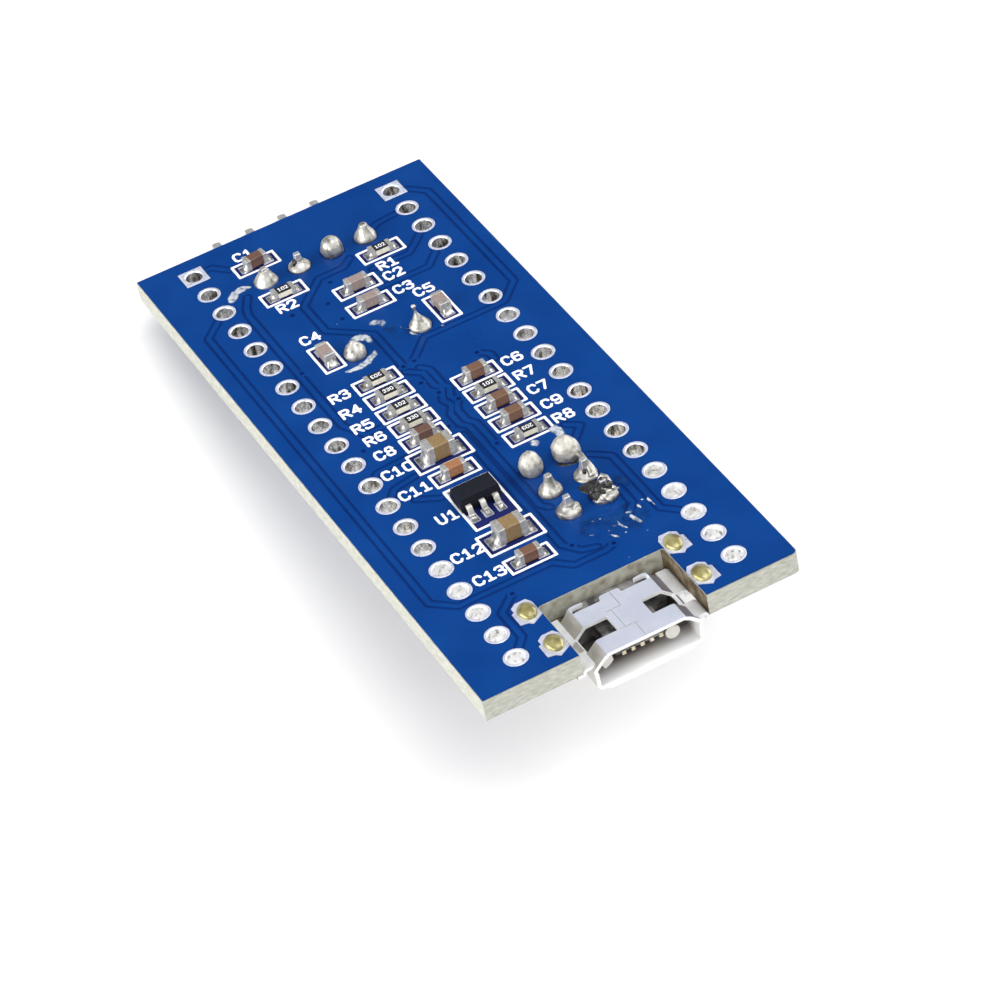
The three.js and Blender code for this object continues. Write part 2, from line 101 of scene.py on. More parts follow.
class Form:
    """Vertices in millimetres, faces and each face's material number."""

    def __init__(self):
        self.verts, self.faces, self.slots = [], [], []

    def add(self, shape, slot=0, at=None):
        verts, faces = shape
        base = len(self.verts)
        self.verts += [tuple(at @ Vector(v)) if at else tuple(v) for v in verts]
        self.faces += [[base + k for k in face] for face in faces]
        self.slots += [slot] * len(faces)
        return self

    def join(self, other, at=None):
        base = len(self.verts)
        self.verts += [tuple(at @ Vector(v)) if at else v for v in other.verts]
        self.faces += [[base + k for k in face] for face in other.faces]
        self.slots += other.slots
        return self


def make(name, form, looks, slot, body="board", stands_for=(), bevel=0.0, segments=2, sharp=35):
    """Turns a form into a piece that rides on a body, in metres."""
    mesh = bpy.data.meshes.new(name)
    mesh.from_pydata([tuple(c * MM for c in v) for v in form.verts], [], form.faces)
    for key in looks:
        mesh.materials.append(LOOK[key])
    mesh.polygons.foreach_set("material_index", form.slots)
    mesh.validate()
    mesh.shade_smooth()
    mesh.set_sharp_from_angle(angle=math.radians(sharp))
    piece = bpy.data.objects.new(name, mesh)
    bpy.context.scene.collection.objects.link(piece)
    if bevel:
        mod = piece.modifiers.new("edges", "BEVEL")
        mod.width = bevel * MM
        mod.segments = segments
        mod.limit_method = "ANGLE"
        mod.angle_limit = math.radians(40)
        mod.use_clamp_overlap = True
    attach(piece, body)
    if stands_for:
        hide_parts(*stands_for)
    return piece


def turned(x, y, z=0.0, degrees=0.0):
    return Matrix.Translation((x, y, z)) @ Matrix.Rotation(math.radians(degrees), 4, "Z")


def loft(rings, caps=(True, True)):
    """Skins a list of rings that all have the same number of points."""
    n = len(rings[0])
    verts = [p for ring in rings for p in ring]
    faces = []
    for k in range(len(rings) - 1):
        a, b = k * n, (k + 1) * n
        faces += [[a + i, a + (i + 1) % n, b + (i + 1) % n, b + i] for i in range(n)]
    if caps[0]:
        faces.append(list(range(n))[::-1])
    if caps[1]:
        faces.append([(len(rings) - 1) * n + i for i in range(n)])
    return verts, faces


def prism(outline, z0, z1):
    return loft([[(x, y, z0) for x, y in outline], [(x, y, z1) for x, y in outline]])


def box(x0, x1, y0, y1, z0, z1):
    return prism(rectangle(x0, x1, y0, y1), z0, z1)


def side_box(side, near, far, *rest):
    """A box between two distances from the middle, on the side 1 or -1 of it."""
    return box(*sorted((side * near, side * far)), *rest)


def inside_out(shape):
    """The same skin with its faces turned the other way."""
    return shape[0], [face[::-1] for face in shape[1]]


def circle(x, y, r, n=32, turn=0.0):
    steps = [2 * math.pi * i / n + turn for i in range(n)]
    return [(x + r * math.cos(a), y + r * math.sin(a)) for a in steps]


def rectangle(x0, x1, y0, y1):
    return [(x0, y0), (x1, y0), (x1, y1), (x0, y1)]


def rounded(x0, x1, y0, y1, r, n=5):
    """A rectangle with quarter-round corners."""
    corners = [(x1 - r, y0 + r, -90), (x1 - r, y1 - r, 0), (x0 + r, y1 - r, 90), (x0 + r, y0 + r, 180)]
    turns = [(cx, cy, math.radians(start + 90 * k / n)) for cx, cy, start in corners for k in range(n + 1)]
    return [(cx + r * math.cos(a), cy + r * math.sin(a)) for cx, cy, a in turns]


def capsule(a, b, r, n=6):
    """The outline that a round pen of radius r leaves between two points."""
    direction = math.atan2(b[1] - a[1], b[0] - a[0])
    ends = (b, direction - math.pi / 2), (a, direction + math.pi / 2)
    turns = [(cx, cy, start + math.pi * k / n) for (cx, cy), start in ends for k in range(n + 1)]
    return [(cx + r * math.cos(t), cy + r * math.sin(t)) for cx, cy, t in turns]


def strokes(path, r, n=6, closed=False):
    """The outlines that the pen leaves along a path, one for each straight run."""
    return [capsule(a, b, r, n) for a, b in zip(path, path[1:] + path[:1] * closed)]


def lathe(profile, x=0.0, y=0.0, n=32):
    """Turns (radius, height) points about an upright axis and leaves the ends open."""
    rings = [[(px, py, z) for px, py in circle(x, y, r, n)] for r, z in profile]
    return loft(rings, caps=(False, False))


def inside(loop, points):
    """Which points lie inside a closed loop."""
    loop = np.asarray(loop, float)
    x, y = points[:, 0], points[:, 1]
    hit = np.zeros(len(points), bool)
    (left, low), (right, high) = loop.min(axis=0), loop.max(axis=0)
    near = (x >= left) & (x <= right) & (y >= low) & (y <= high)
    px, py = x[near], y[near]
    odd = np.zeros(len(px), bool)
    ax, ay = loop[:, 0], loop[:, 1]
    bx, by = np.roll(ax, -1), np.roll(ay, -1)
    for x0, y0, x1, y1 in zip(ax, ay, bx, by):
        if y0 != y1:
            crosses = (y0 > py) != (y1 > py)
            odd ^= crosses & (px < x0 + (py - y0) * (x1 - x0) / (y1 - y0))
    hit[near] = odd
    return hit


def cut_plane(loops, guides=()):
    """Triangles of the plane as cut up by closed loops and by open guide lines."""
    points, edges = [], []
    for loop in loops:
        base = len(points)
        points += [Vector(p) for p in loop]
        edges += [(base + i, base + (i + 1) % len(loop)) for i in range(len(loop))]
    for a, b in guides:
        edges.append((len(points), len(points) + 1))
        points += [Vector(a), Vector(b)]
    verts, _, faces, *_ = delaunay_2d_cdt(points, edges, [], 0, 1e-5)
    verts = np.array([(v.x, v.y) for v in verts])
    faces = np.array([f for f in faces if len(f) == 3])
    return verts, faces


def relief(layers, heights):
    """A stepped surface. layers is (kind, loop) in painting order and heights gives each kind's z.

    Kind None is open air. A step between two kinds gets an upright wall."""
    verts, faces = cut_plane([loop for _, loop in layers])
    centres = verts[faces].mean(axis=1)
    kinds = np.full(len(faces), -1)
    names = list(heights)
    for kind, loop in layers:
        kinds[inside(loop, centres)] = -1 if kind is None else names.index(kind)
    form, numbers = Form(), {}

    def corner(v, z):
        key = (int(v), z)
        if key not in numbers:
            numbers[key] = len(form.verts)
            form.verts.append((verts[v][0], verts[v][1], z))
        return numbers[key]

    sides = {}
    for tri, kind in zip(faces, kinds):
        if kind < 0:
            continue
        z = heights[names[kind]]
        form.faces.append([corner(v, z) for v in tri])
        form.slots.append(int(kind))
        for i in range(3):
            a, b = int(tri[i]), int(tri[(i + 1) % 3])
            sides.setdefault((min(a, b), max(a, b)), []).append((a, b, z, int(kind)))
    for shared in sides.values():
        if len(shared) == 2 and shared[0][2] != shared[1][2]:
            upper = max(shared, key=lambda s: s[2])
            lower = min(shared, key=lambda s: s[2])
            a, b = upper[0], upper[1]
            high, low = upper[2], lower[2]
            form.faces.append([corner(b, high), corner(a, high), corner(a, low), corner(b, low)])
            form.slots.append(upper[3])
    return form


def raised(loops, z0, z1, holes=()):
    """A flat plate between two heights in the shape of all the loops together, less the holes."""
    verts, faces = cut_plane(list(loops) + list(holes))
    centres = verts[faces].mean(axis=1)
    keep = np.zeros(len(faces), bool)
    for loop in loops:
        keep |= inside(loop, centres)
    for hole in holes:
        keep &= ~inside(hole, centres)
    return thick(verts, faces[keep], lambda x, y, h: (x, y, z1 if h > 0 else z0), 1.0)


def thick(verts, faces, lay, thickness):
    """Gives a flat pattern thickness; lay(s, t, h) says where a point of the pattern goes."""
    used = sorted(set(int(v) for f in faces for v in f))
    number = {v: i for i, v in enumerate(used)}
    top = [lay(verts[v][0], verts[v][1], thickness / 2) for v in used]
    bottom = [lay(verts[v][0], verts[v][1], -thickness / 2) for v in used]
    n = len(used)
    out, border = [], {}
    for f in faces:
        a, b, c = (number[int(v)] for v in f)
        out.append([a, b, c])
        out.append([n + c, n + b, n + a])
        for p, q in ((a, b), (b, c), (c, a)):
            if border.pop((q, p), None) is None:
                border[(p, q)] = True
    out += [[q, p, n + p, n + q] for p, q in border]
    return top + bottom, out


def flattened(shape, degrees=1.0):
    """Dissolves the edges between faces in one plane."""
    bm = bmesh.new()
    corners = [bm.verts.new(v) for v in shape[0]]
    for face in shape[1]:
        try:
            bm.faces.new([corners[k] for k in face])
        except ValueError:
            pass
    bmesh.ops.dissolve_limit(bm, angle_limit=math.radians(degrees), verts=bm.verts, edges=bm.edges)
    bm.verts.index_update()
    result = [tuple(v.co) for v in bm.verts], [[v.index for v in f.verts] for f in bm.faces]
    bm.free()
    return result


def wobble(p, size, seed):
    """A smooth random number from -1 to 1 at a point."""
    return noise.noise(Vector(p) / size + Vector((seed * 17.3, seed * 5.1, seed * 2.7)))


# ------------------------------------------------------------------ materials

class Paint:
    """A Principled material whose patterns are made from noise in the part's own coordinates."""

    def __init__(self, name, color, roughness, metallic, **extra):
        self.material = bpy.data.materials.new(name)
        self.material.use_nodes = True
        self.tree = self.material.node_tree
        self.link = self.tree.links.new
        self.shader = self.tree.nodes["Principled BSDF"]
        values = {"Base_Color": (*color, 1.0), "Roughness": roughness, "Metallic": metallic, **extra}
        for key, value in values.items():
            self.shader.inputs[key.replace("_", " ")].default_value = value
        self.where = self.tree.nodes.new("ShaderNodeTexCoord").outputs["Object"]

    def node(self, kind, **values):
        made = self.tree.nodes.new(kind)
        for key, value in values.items():
            if key in made.inputs:
                made.inputs[key].default_value = value
            else:
                setattr(made, key, value)
        return made

    def noise(self, size_mm, detail=3.0, stretch=None):
        """Noise whose blobs are about size_mm across."""
        pattern = self.node("ShaderNodeTexNoise", Scale=1.0 / (size_mm * MM), Detail=detail)
        source = self.where
        if stretch:
            mapping = self.node("ShaderNodeMapping", Scale=stretch)
            self.link(source, mapping.inputs["Vector"])
            source = mapping.outputs["Vector"]
        self.link(source, pattern.inputs["Vector"])
        return pattern.outputs["Fac"]

    def spread(self, source, start, end, low=0.0, high=1.0):
        """Takes start to low and end to high."""
        limits = {"From Min": start, "From Max": end, "To Min": low, "To Max": high}
        made = self.node("ShaderNodeMapRange", **limits)
        self.link(source, made.inputs["Value"])
        return made.outputs["Result"]

    def along(self, axis, start_mm, end_mm):
        """0 to 1 between two places along an axis of the part."""
        split = self.node("ShaderNodeSeparateXYZ")
        self.link(self.where, split.inputs["Vector"])
        return self.spread(split.outputs[axis], start_mm * MM, end_mm * MM)

    def product(self, a, b):
        times = self.node("ShaderNodeMath", operation="MULTIPLY")
        self.link(a, times.inputs[0])
        self.link(b, times.inputs[1])
        return times.outputs["Value"]

    def colors(self, source, stops):
        ramp = self.node("ShaderNodeValToRGB")
        bar = ramp.color_ramp.elements
        while len(bar) < len(stops):
            bar.new(0.5)
        for element, (place, color) in zip(bar, stops):
            element.position = place
            element.color = (*color, 1.0)
        self.link(source, ramp.inputs["Fac"])
        self.link(ramp.outputs["Color"], self.shader.inputs["Base Color"])

    def levels(self, source, socket, low, high, start=0.3, end=0.7):
        self.link(self.spread(source, start, end, low, high), self.shader.inputs[socket])

    def bump(self, source, height_mm, strength):
        bump = self.node("ShaderNodeBump", Strength=strength, Distance=height_mm * MM)
        self.link(source, bump.inputs["Height"])
        self.link(bump.outputs["Normal"], self.shader.inputs["Normal"])


def look(key, name, color, roughness, metallic=0.0, tones=None, polish=None, bumps=None, **extra):
    """A material made from noise, kept in LOOK: tones is (noise, colour stops), polish is (noise, lowest
    roughness, highest roughness) and bumps is (noise, height in mm, strength).

    A noise is the size of its blobs in mm, or (size, detail, stretch)."""
    p = Paint(name, color, roughness, metallic, **extra)

    def pattern(grain):
        return p.noise(*grain) if isinstance(grain, tuple) else p.noise(grain)

    if tones:
        p.colors(pattern(tones[0]), tones[1])
    if polish:
        p.levels(pattern(polish[0]), "Roughness", *polish[1:])
    if bumps:
        p.bump(pattern(bumps[0]), *bumps[1:])
    LOOK[key] = p.material
    return p


def shades(color, dark, light, end=0.7):
    """Colour stops from a darker to a lighter shade of one colour."""
    return [(0.3, tuple(dark * c for c in color)), (end, tuple(light * c for c in color))]


LOOK = {}

for key, name, *tones in (  # semi-gloss solder mask, faintly clouded: dark, middle and light
    ("mask", "mask_over_copper", (0.001, 0.034, 0.175), (0.0014, 0.038, 0.19), (0.002, 0.043, 0.205)),
    ("gap", "mask_over_laminate", (0.0008, 0.019, 0.115), (0.001, 0.022, 0.13), (0.0014, 0.025, 0.14)),
    ("bare", "mask_inside_frames", (0.007, 0.012, 0.075), (0.01, 0.016, 0.09), (0.014, 0.02, 0.11)),
    ("via", "mask_over_via", (0.001, 0.01, 0.08), (0.001, 0.014, 0.1), (0.002, 0.018, 0.12)),
):
    look(key, name, tones[1], 0.3, tones=((3.5, 1.0), list(zip((0.25, 0.5, 0.75), tones))),
         polish=((4.0, 1.0), 0.27, 0.36), Specular_IOR_Level=0.15)

look("ink", "white_legend_ink", (0.88, 0.88, 0.9), 0.6,
     tones=(0.5, [(0.25, (0.8, 0.8, 0.83)), (0.6, (0.93, 0.93, 0.94))]), bumps=(0.12, 0.01, 0.6))
look("fibre", "glass_fibre_edge", (0.42, 0.42, 0.37), 0.75,
     tones=((0.25, 5.0, (0.5, 0.5, 1.8)), [(0.3, (0.31, 0.31, 0.26)), (0.5, (0.41, 0.41, 0.36)),
            (0.7, (0.5, 0.5, 0.45))]), bumps=((0.12, 4.0), 0.03, 0.6))
look("notch_face", "notch_fibre_edge", (0.33, 0.31, 0.25), 0.7,
     tones=((0.8, 5.0), [(0.3, (0.2, 0.17, 0.12)), (0.48, (0.34, 0.33, 0.27)), (0.66, (0.42, 0.42, 0.36))]),
     bumps=((0.15, 4.0), 0.04, 0.8))
look("dark_brown", "dark_brown_fibre_edge", (0.25, 0.2, 0.11), 0.6,
     tones=((0.9, 5.0), [(0.34, (0.035, 0.02, 0.008)), (0.5, (0.1, 0.066, 0.03)),
            (0.68, (0.2, 0.17, 0.11))]), bumps=((0.15, 4.0), 0.05, 0.8))
# The blue in the tinned lands' colour is a painted reflection of the sky.
look("pad", "tinned_pad", (0.72, 0.74, 0.88), 0.35, 0.5,
     tones=(0.5, [(0.3, (0.64, 0.66, 0.78)), (0.65, (0.78, 0.8, 0.94))]), polish=(0.3, 0.22, 0.45),
     bumps=(0.25, 0.02, 0.6))
# Tinned barrels with dark flecks. Their bright tones are partly painted light, the bright table seen through
# the holes lighting the far wall.
look("barrel", "plated_barrel", (0.6, 0.6, 0.6), 0.25, 0.9,
     tones=((0.4, 3.0, (1.0, 1.0, 0.3)), [(0.34, (0.09, 0.08, 0.07)), (0.43, (0.42, 0.4, 0.37)),
            (0.52, (0.88, 0.88, 0.87))]), bumps=((0.25, 3.0, (1.0, 1.0, 0.5)), 0.1, 1.0))
look("barrel_lit", "barrel_painted_light", (0.85, 0.85, 0.85), 0.35, 0.6,
     tones=((0.3, 4.0), [(0.3, (0.3, 0.28, 0.26)), (0.4, (0.75, 0.74, 0.72)), (0.5, (0.95, 0.95, 0.95))]),
     bumps=((0.25, 3.0, (1.0, 1.0, 0.5)), 0.05, 1.0))
look("solder", "solder", (0.45, 0.435, 0.395), 0.45, 0.85,
     tones=((0.4, 5.0), [(0.34, (0.2, 0.185, 0.16)), (0.46, (0.43, 0.415, 0.375)),
            (0.7, (0.55, 0.54, 0.51))]), polish=(0.25, 0.36, 0.55), bumps=((0.2, 4.0), 0.012, 0.6))
look("fresh", "fresh_solder", (0.8, 0.79, 0.74), 0.5, 0.7,
     tones=((0.3, 5.0), [(0.34, (0.37, 0.35, 0.31)), (0.47, (0.5, 0.48, 0.435)),
            (0.68, (0.65, 0.62, 0.56))]), polish=(0.25, 0.5, 0.66), bumps=((0.22, 5.0), 0.025, 0.7))
look("fillet", "solder_on_chips", (0.42, 0.41, 0.38), 0.32, 0.9,
     tones=((0.35, 4.0), [(0.32, (0.2, 0.19, 0.17)), (0.5, (0.42, 0.41, 0.38)),
            (0.64, (0.66, 0.65, 0.62))]), bumps=(0.2, 0.03, 0.8))
look("pin", "tinned_pin", (0.6, 0.59, 0.58), 0.38, 0.75,
     tones=(0.3, [(0.3, (0.52, 0.51, 0.5)), (0.7, (0.7, 0.69, 0.68))]), bumps=(0.15, 0.008, 0.5))
look("char", "charred_flux", (0.03, 0.02, 0.014), 0.35,
     tones=((0.25, 5.0), [(0.42, (0.003, 0.003, 0.004)), (0.62, (0.014, 0.01, 0.008)),
            (0.8, (0.1, 0.075, 0.05))]), bumps=((0.12, 5.0), 0.08, 1.0), Coat_Weight=0.3)
look("amber", "amber_flux", (0.4, 0.32, 0.09), 0.3, 0.4,
     tones=(0.7, [(0.3, (0.17, 0.14, 0.05)), (0.5, (0.32, 0.28, 0.1)), (0.68, (0.48, 0.44, 0.22))]),
     bumps=(0.3, 0.03, 0.6), Coat_Weight=0.5, Coat_Roughness=0.15)

p = look("flux", "dried_flux", (0.5, 0.53, 0.56), 0.4,
         tones=((0.3, 4.0), [(0.35, (0.3, 0.36, 0.44)), (0.6, (0.56, 0.58, 0.6))]),
         bumps=((0.2, 4.0), 0.03, 0.8), Coat_Weight=0.4)
p.levels(p.product(p.along("Z", 0.004, 0.05), p.noise(0.3, 4.0)), "Alpha", 0.0, 0.92, 0.16, 0.5)
p = look("wet", "wet_flux", (0.004, 0.05, 0.2), 0.15,
         tones=(0.9, [(0.36, (0.002, 0.012, 0.04)), (0.47, (0.002, 0.036, 0.17)),
                      (0.58, (0.006, 0.06, 0.21)), (0.7, (0.04, 0.14, 0.3))]),
         bumps=((0.8, 2.0), 0.1, 1.0), Coat_Weight=0.4, Coat_Roughness=0.05)
p.levels(p.product(p.along("Z", 0.006, 0.05), p.noise(1.3)), "Alpha", 0.0, 0.45, 0.38, 0.68)

# Painted reflection: the lavender in this sheet's colour stands for the sky seen in it. It is the copy for
# the receptacle shell's upward faces, and the crystal can and the switch cover use it too.
look("steel", "sheet_steel_painted_sky_tint", (0.75, 0.77, 0.88), 0.35, 0.58,
     tones=(1.5, [(0.3, (0.72, 0.745, 0.86)), (0.7, (0.79, 0.815, 0.93))]), polish=((0.3, 4.0), 0.3, 0.42),
     bumps=(0.1, 0.002, 0.3))
# Painted shade: darker copies of the same sheet, a mid-grey one for faces that look sideways or down and the
# darkest for those that face right.
for key, color in (("steel_side_shaded", (0.56, 0.54, 0.5)), ("steel_shade", (0.26, 0.25, 0.29))):
    look(key, f"{key}_sheet", color, 0.4, 0.6, tones=(0.9, shades(color, 0.88, 1.1)),
         bumps=(0.1, 0.002, 0.3))
# Painted shade: the shell's inner skin is light at the lip of the mouth and darker deeper inside, along Y.
p = look("mouth", "mouth_painted_shade", (0.5, 0.49, 0.47), 0.45, 0.3, bumps=(0.1, 0.002, 0.3))
p.colors(p.along("Y", -26.65, -24.4), [(0.0, (0.85, 0.85, 0.85)), (0.3, (0.8, 0.8, 0.79)),
                                       (0.6, (0.5, 0.47, 0.45)), (0.85, (0.16, 0.14, 0.13))])
# Painted highlight: a brighter, neutral copy of the shell's sheet, for its cut edges and its ears.
look("tin", "sheet_painted_highlight", (0.78, 0.78, 0.78), 0.5, 0.35,
     tones=(0.6, [(0.3, (0.72, 0.72, 0.71)), (0.7, (0.84, 0.84, 0.84))]), bumps=(0.12, 0.008, 0.5))
look("gold", "gold_flash", (0.95, 0.82, 0.52), 0.4, 0.5,
     tones=(0.8, [(0.3, (0.92, 0.79, 0.54)), (0.7, (1.0, 0.93, 0.72))]), polish=(0.3, 0.18, 0.34))
look("end", "chip_end_silver", (0.46, 0.45, 0.42), 0.45, 0.65,
     tones=((0.25, 4.0), [(0.3, (0.36, 0.35, 0.33)), (0.7, (0.6, 0.59, 0.56))]), bumps=(0.08, 0.015, 0.8))
look("cream", "resistor_ceramic", (0.72, 0.69, 0.55), 0.6,
     tones=(0.2, [(0.3, (0.64, 0.6, 0.47)), (0.7, (0.8, 0.77, 0.64))]))
look("glaze", "resistor_glaze", (0.012, 0.012, 0.014), 0.35, polish=(0.15, 0.28, 0.5),
     bumps=(0.1, 0.006, 0.6))
look("epoxy", "black_epoxy", (0.006, 0.007, 0.012), 0.5,
     tones=((0.1, 4.0), [(0.3, (0.005, 0.006, 0.01)), (0.7, (0.012, 0.013, 0.019))]),
     polish=(0.2, 0.42, 0.62), bumps=(0.05, 0.01, 0.9), Specular_IOR_Level=0.15)
# Painted sheen: the black moulding is drawn dark grey, the grey standing for glare on it. Its tone varies at
# random.
look("housing", "housing_painted_glare", (0.1, 0.095, 0.09), 0.5,
     tones=(0.8, [(0.35, (0.04, 0.038, 0.04)), (0.48, (0.14, 0.135, 0.13)),
            (0.62, (0.24, 0.235, 0.22))]), bumps=(0.08, 0.006, 0.6))
look("nylon", "black_nylon", (0.014, 0.014, 0.014), 0.42, polish=(0.4, 0.34, 0.55),
     bumps=(0.07, 0.008, 0.7))
look("yellow", "yellow_nylon", (0.8, 0.5, 0.02), 0.4,
     tones=(1.2, [(0.3, (0.72, 0.43, 0.015)), (0.7, (0.85, 0.56, 0.03))]), bumps=(0.09, 0.01, 0.6),
     Subsurface_Weight=0.1)
look("white", "white_nylon", (0.75, 0.73, 0.66), 0.45,
     tones=(0.4, [(0.3, (0.68, 0.66, 0.58)), (0.7, (0.8, 0.78, 0.72))]))
for key, color in (
    ("brown", (0.15, 0.074, 0.043)), ("umber", (0.12, 0.06, 0.041)), ("orange", (0.3, 0.132, 0.055)),
    ("ochre", (0.22, 0.144, 0.063)), ("taupe", (0.27, 0.21, 0.185)),
):
    look(key, f"ceramic_{key}", color, 0.45, tones=((0.16, 4.0), shades(color, 0.82, 1.18)),
         bumps=(0.06, 0.006, 0.7))
for key, color in (("red_resin", (0.75, 0.1, 0.06)), ("green_resin", (0.25, 0.65, 0.2))):
    look(key, key, color, 0.15, tones=(0.5, shades(color, 1.0, 1.3, 0.8)), Coat_Weight=0.5)


# ------------------------------------------------------------------ where things are printed

GLYPHS = {
    "0": [[(0.2, 0), (0.8, 0), (1, 0.2), (1, 0.8), (0.8, 1), (0.2, 1), (0, 0.8), (0, 0.2), (0.2, 0)]],
    "1": [[(0.12, 0.76), (0.5, 1), (0.5, 0)], [(0.1, 0), (0.9, 0)]],
    "2": [[(0, 0.78), (0.2, 1), (0.8, 1), (1, 0.8), (1, 0.62), (0.02, 0), (1, 0)]],
    "3": [[(0, 0.85), (0.2, 1), (0.8, 1), (0.97, 0.78), (0.78, 0.55), (0.4, 0.55)],
          [(0.78, 0.55), (1, 0.3), (0.8, 0), (0.2, 0), (0, 0.15)]],
    "4": [[(0.75, 0), (0.75, 1), (0, 0.3), (1, 0.3)]],
    "5": [[(0.95, 1), (0.08, 1), (0.03, 0.58), (0.8, 0.6), (1, 0.4), (1, 0.18), (0.8, 0), (0.2, 0),
           (0, 0.14)]],
    "6": [[(0.93, 0.86), (0.78, 1), (0.25, 1), (0, 0.75), (0, 0.2), (0.2, 0), (0.8, 0), (1, 0.2), (1, 0.4),
           (0.8, 0.57), (0.05, 0.55)]],
    "7": [[(0, 1), (1, 1), (0.35, 0)]],
    "8": [[(0.25, 0.53), (0.05, 0.72), (0.25, 1), (0.75, 1), (0.95, 0.72), (0.75, 0.53), (0.25, 0.53),
           (0, 0.25), (0.2, 0), (0.8, 0), (1, 0.25), (0.75, 0.53)]],
    "9": [[(0.07, 0.14), (0.22, 0), (0.75, 0), (1, 0.25), (1, 0.8), (0.8, 1), (0.2, 1), (0, 0.8), (0, 0.6),
           (0.2, 0.43), (0.95, 0.45)]],
    "C": [[(1, 0.8), (0.8, 1), (0.25, 1), (0, 0.75), (0, 0.25), (0.25, 0), (0.8, 0), (1, 0.2)]],
    "R": [[(0, 0), (0, 1), (0.75, 1), (1, 0.84), (1, 0.66), (0.75, 0.5), (0, 0.5)], [(0.45, 0.5), (1, 0)]],
    "U": [[(0, 1), (0, 0.25), (0.25, 0), (0.75, 0), (1, 0.25), (1, 1)]],
}


def written(text, x, y, height, width, advance, pen):
    """Outlines of a word drawn with a round pen, its lower left corner at x, y."""
    loops = []
    for i, letter in enumerate(text):
        for stroke in GLYPHS[letter]:
            loops += strokes([(x + i * advance + u * width, y + v * height) for u, v in stroke], pen)
    return loops


class ChipPart:
    """A chip resistor or capacitor: its designator, the place of its lettering and its look or marking."""

    def __init__(self, text, x, y, look):
        self.text, self.corner, self.look = text, (x, y), look
        self.resistor = text[0] == "R"
        self.node = ("resistor_" if self.resistor else "capacitor_") + text[1:]
        self.frame = (3.85, 2.15) if text in ("C10", "C12") else (3.06, 1.42)
        self.upright = text in ("C4", "C5")
        self.angle = (90 if self.upright else 0) + (6.0 if text == "C1" else 0.0)  # C1 sits out of line
        self.low, self.high = box_mm(self.node)
        self.centre = (self.low + self.high) / 2
        size = self.high - self.low
        self.length, self.width = (size.y, size.x) if self.upright else (size.x, size.y)
        # its lands, measured from its middle: the ends of one, and half the width
        self.inner, self.outer = self.length / 2 - 0.35, self.frame[0] / 2 - 0.2
        self.half = self.width / 2 + 0.02

    def placed(self, points):
        """Points round its middle, turned with its frame and moved to its place."""
        if self.upright:
            points = [(-y, x) for x, y in points]
        return [(self.centre.x + x, self.centre.y + y) for x, y in points]


PARTS = [ChipPart(*row) for row in (
    ("C1", -4.62, 23.62, "umber"), ("R1", 2.95, 16.22, "102"), ("R2", -4.6, 16.38, "102"),
    ("C2", 2.78, 14.92, "taupe"), ("C3", 2.64, 13.12, "taupe"), ("C4", -4.9, 12.1, "taupe"),
    ("C5", 3.6, 11.95, "taupe"), ("R3", -6.0, 5.2, "203"), ("R4", -6.1, 3.3, "330"),
    ("R5", -6.15, 1.42, "102"), ("R6", -6.05, -0.25, "330"), ("C6", 4.9, 1.45, "brown"),
    ("R7", 4.9, -0.4, "102"), ("C7", 4.9, -2.3, "brown"), ("C8", -6.2, -2.0, "umber"),
    ("C9", 4.9, -4.2, "brown"), ("C10", -6.7, -4.12, "ochre"), ("R8", 4.85, -5.95, "203"),
    ("C11", -6.7, -6.65, "orange"), ("C12", -6.75, -14.2, "ochre"), ("C13", -6.6, -16.95, "brown"),
)]
PEN = 0.09  # half the width of a printed line
THIN_PEN = 0.07

# Copper runs on the solder side, seen as pairs of fine grooves: points in millimetres.
RUNS = [
    [(-7.62, 19.05), (-8.4, 18.4), (-9.7, 17.1), (-9.7, -16.4), (-8.35, -17.75), (-1.75, -17.75),
     (-0.75, -18.85), (1.55, -18.85), (2.2, -18.55)],
    [(7.62, 24.13), (8.7, 23.5), (9.66, 22.4), (9.66, 9.4), (8.1, 7.78), (2.05, 7.78), (0.4, 6.05)],
    [(1.9, 19.0), (1.1, 18.3), (-0.8, 18.3), (-2.95, 16.1), (-2.95, 12.7), (-0.48, 10.3), (-0.45, 5.85)],
    [(-5.6, 19.6), (-6.15, 18.6), (-6.42, 17.7), (-6.42, 2.9), (-5.6, 1.05), (-4.2, 1.05)],
    [(7.62, 19.05), (6.6, 17.95), (5.45, 16.85), (2.6, 16.85)],
    [(7.62, 16.51), (6.75, 15.6), (5.8, 14.6), (1.8, 14.6)],
    [(3.81, 20.4), (5.1, 21.35), (7.62, 21.59)],
    [(-7.62, 24.13), (-6.2, 24.3), (-5.3, 23.2)],
    [(-0.62, 5.3), (0.3, 4.4), (0.3, 2.75), (0.62, 2.3), (0.05, 1.0), (0.3, 0.2), (-0.2, -0.6), (-0.2, -1.9),
     (0.2, -2.5), (0.2, -12.4), (0.6, -13.0)],
    [(0.35, 5.1), (0.8, 4.5), (0.8, 2.4), (1.05, 2.0), (0.6, 1.1), (0.8, 0.4), (0.35, -0.5), (0.35, -1.8),
     (0.75, -2.5), (0.75, -5.1)],
    [(-0.5, -3.0), (-0.5, -16.7), (0.3, -17.9), (1.2, -18.2)],
    [(5.0, -9.9), (6.15, -11.0), (6.15, -17.4), (7.62, -19.05)],
    [(5.2, -6.3), (6.0, -7.0), (5.0, -8.1), (3.92, -9.1)],
    [(-5.1, -18.8), (-6.45, -20.0), (-6.45, -22.7), (-7.62, -24.13)],
    [(-7.62, -3.81), (-6.7, -2.95), (-4.3, -2.75)],
    [(-7.62, -6.35), (-6.5, -5.1), (-4.9, -4.8)],
    [(-5.9, -6.9), (-4.5, -7.8)],
    [(4.12, 4.05), (4.75, 3.4), (4.75, 2.7)],
    [(4.3, -13.0), (5.0, -13.9), (5.0, -15.9), (4.0, -17.0)],
]
RUN_HALF, GROOVE = 0.17, 0.2
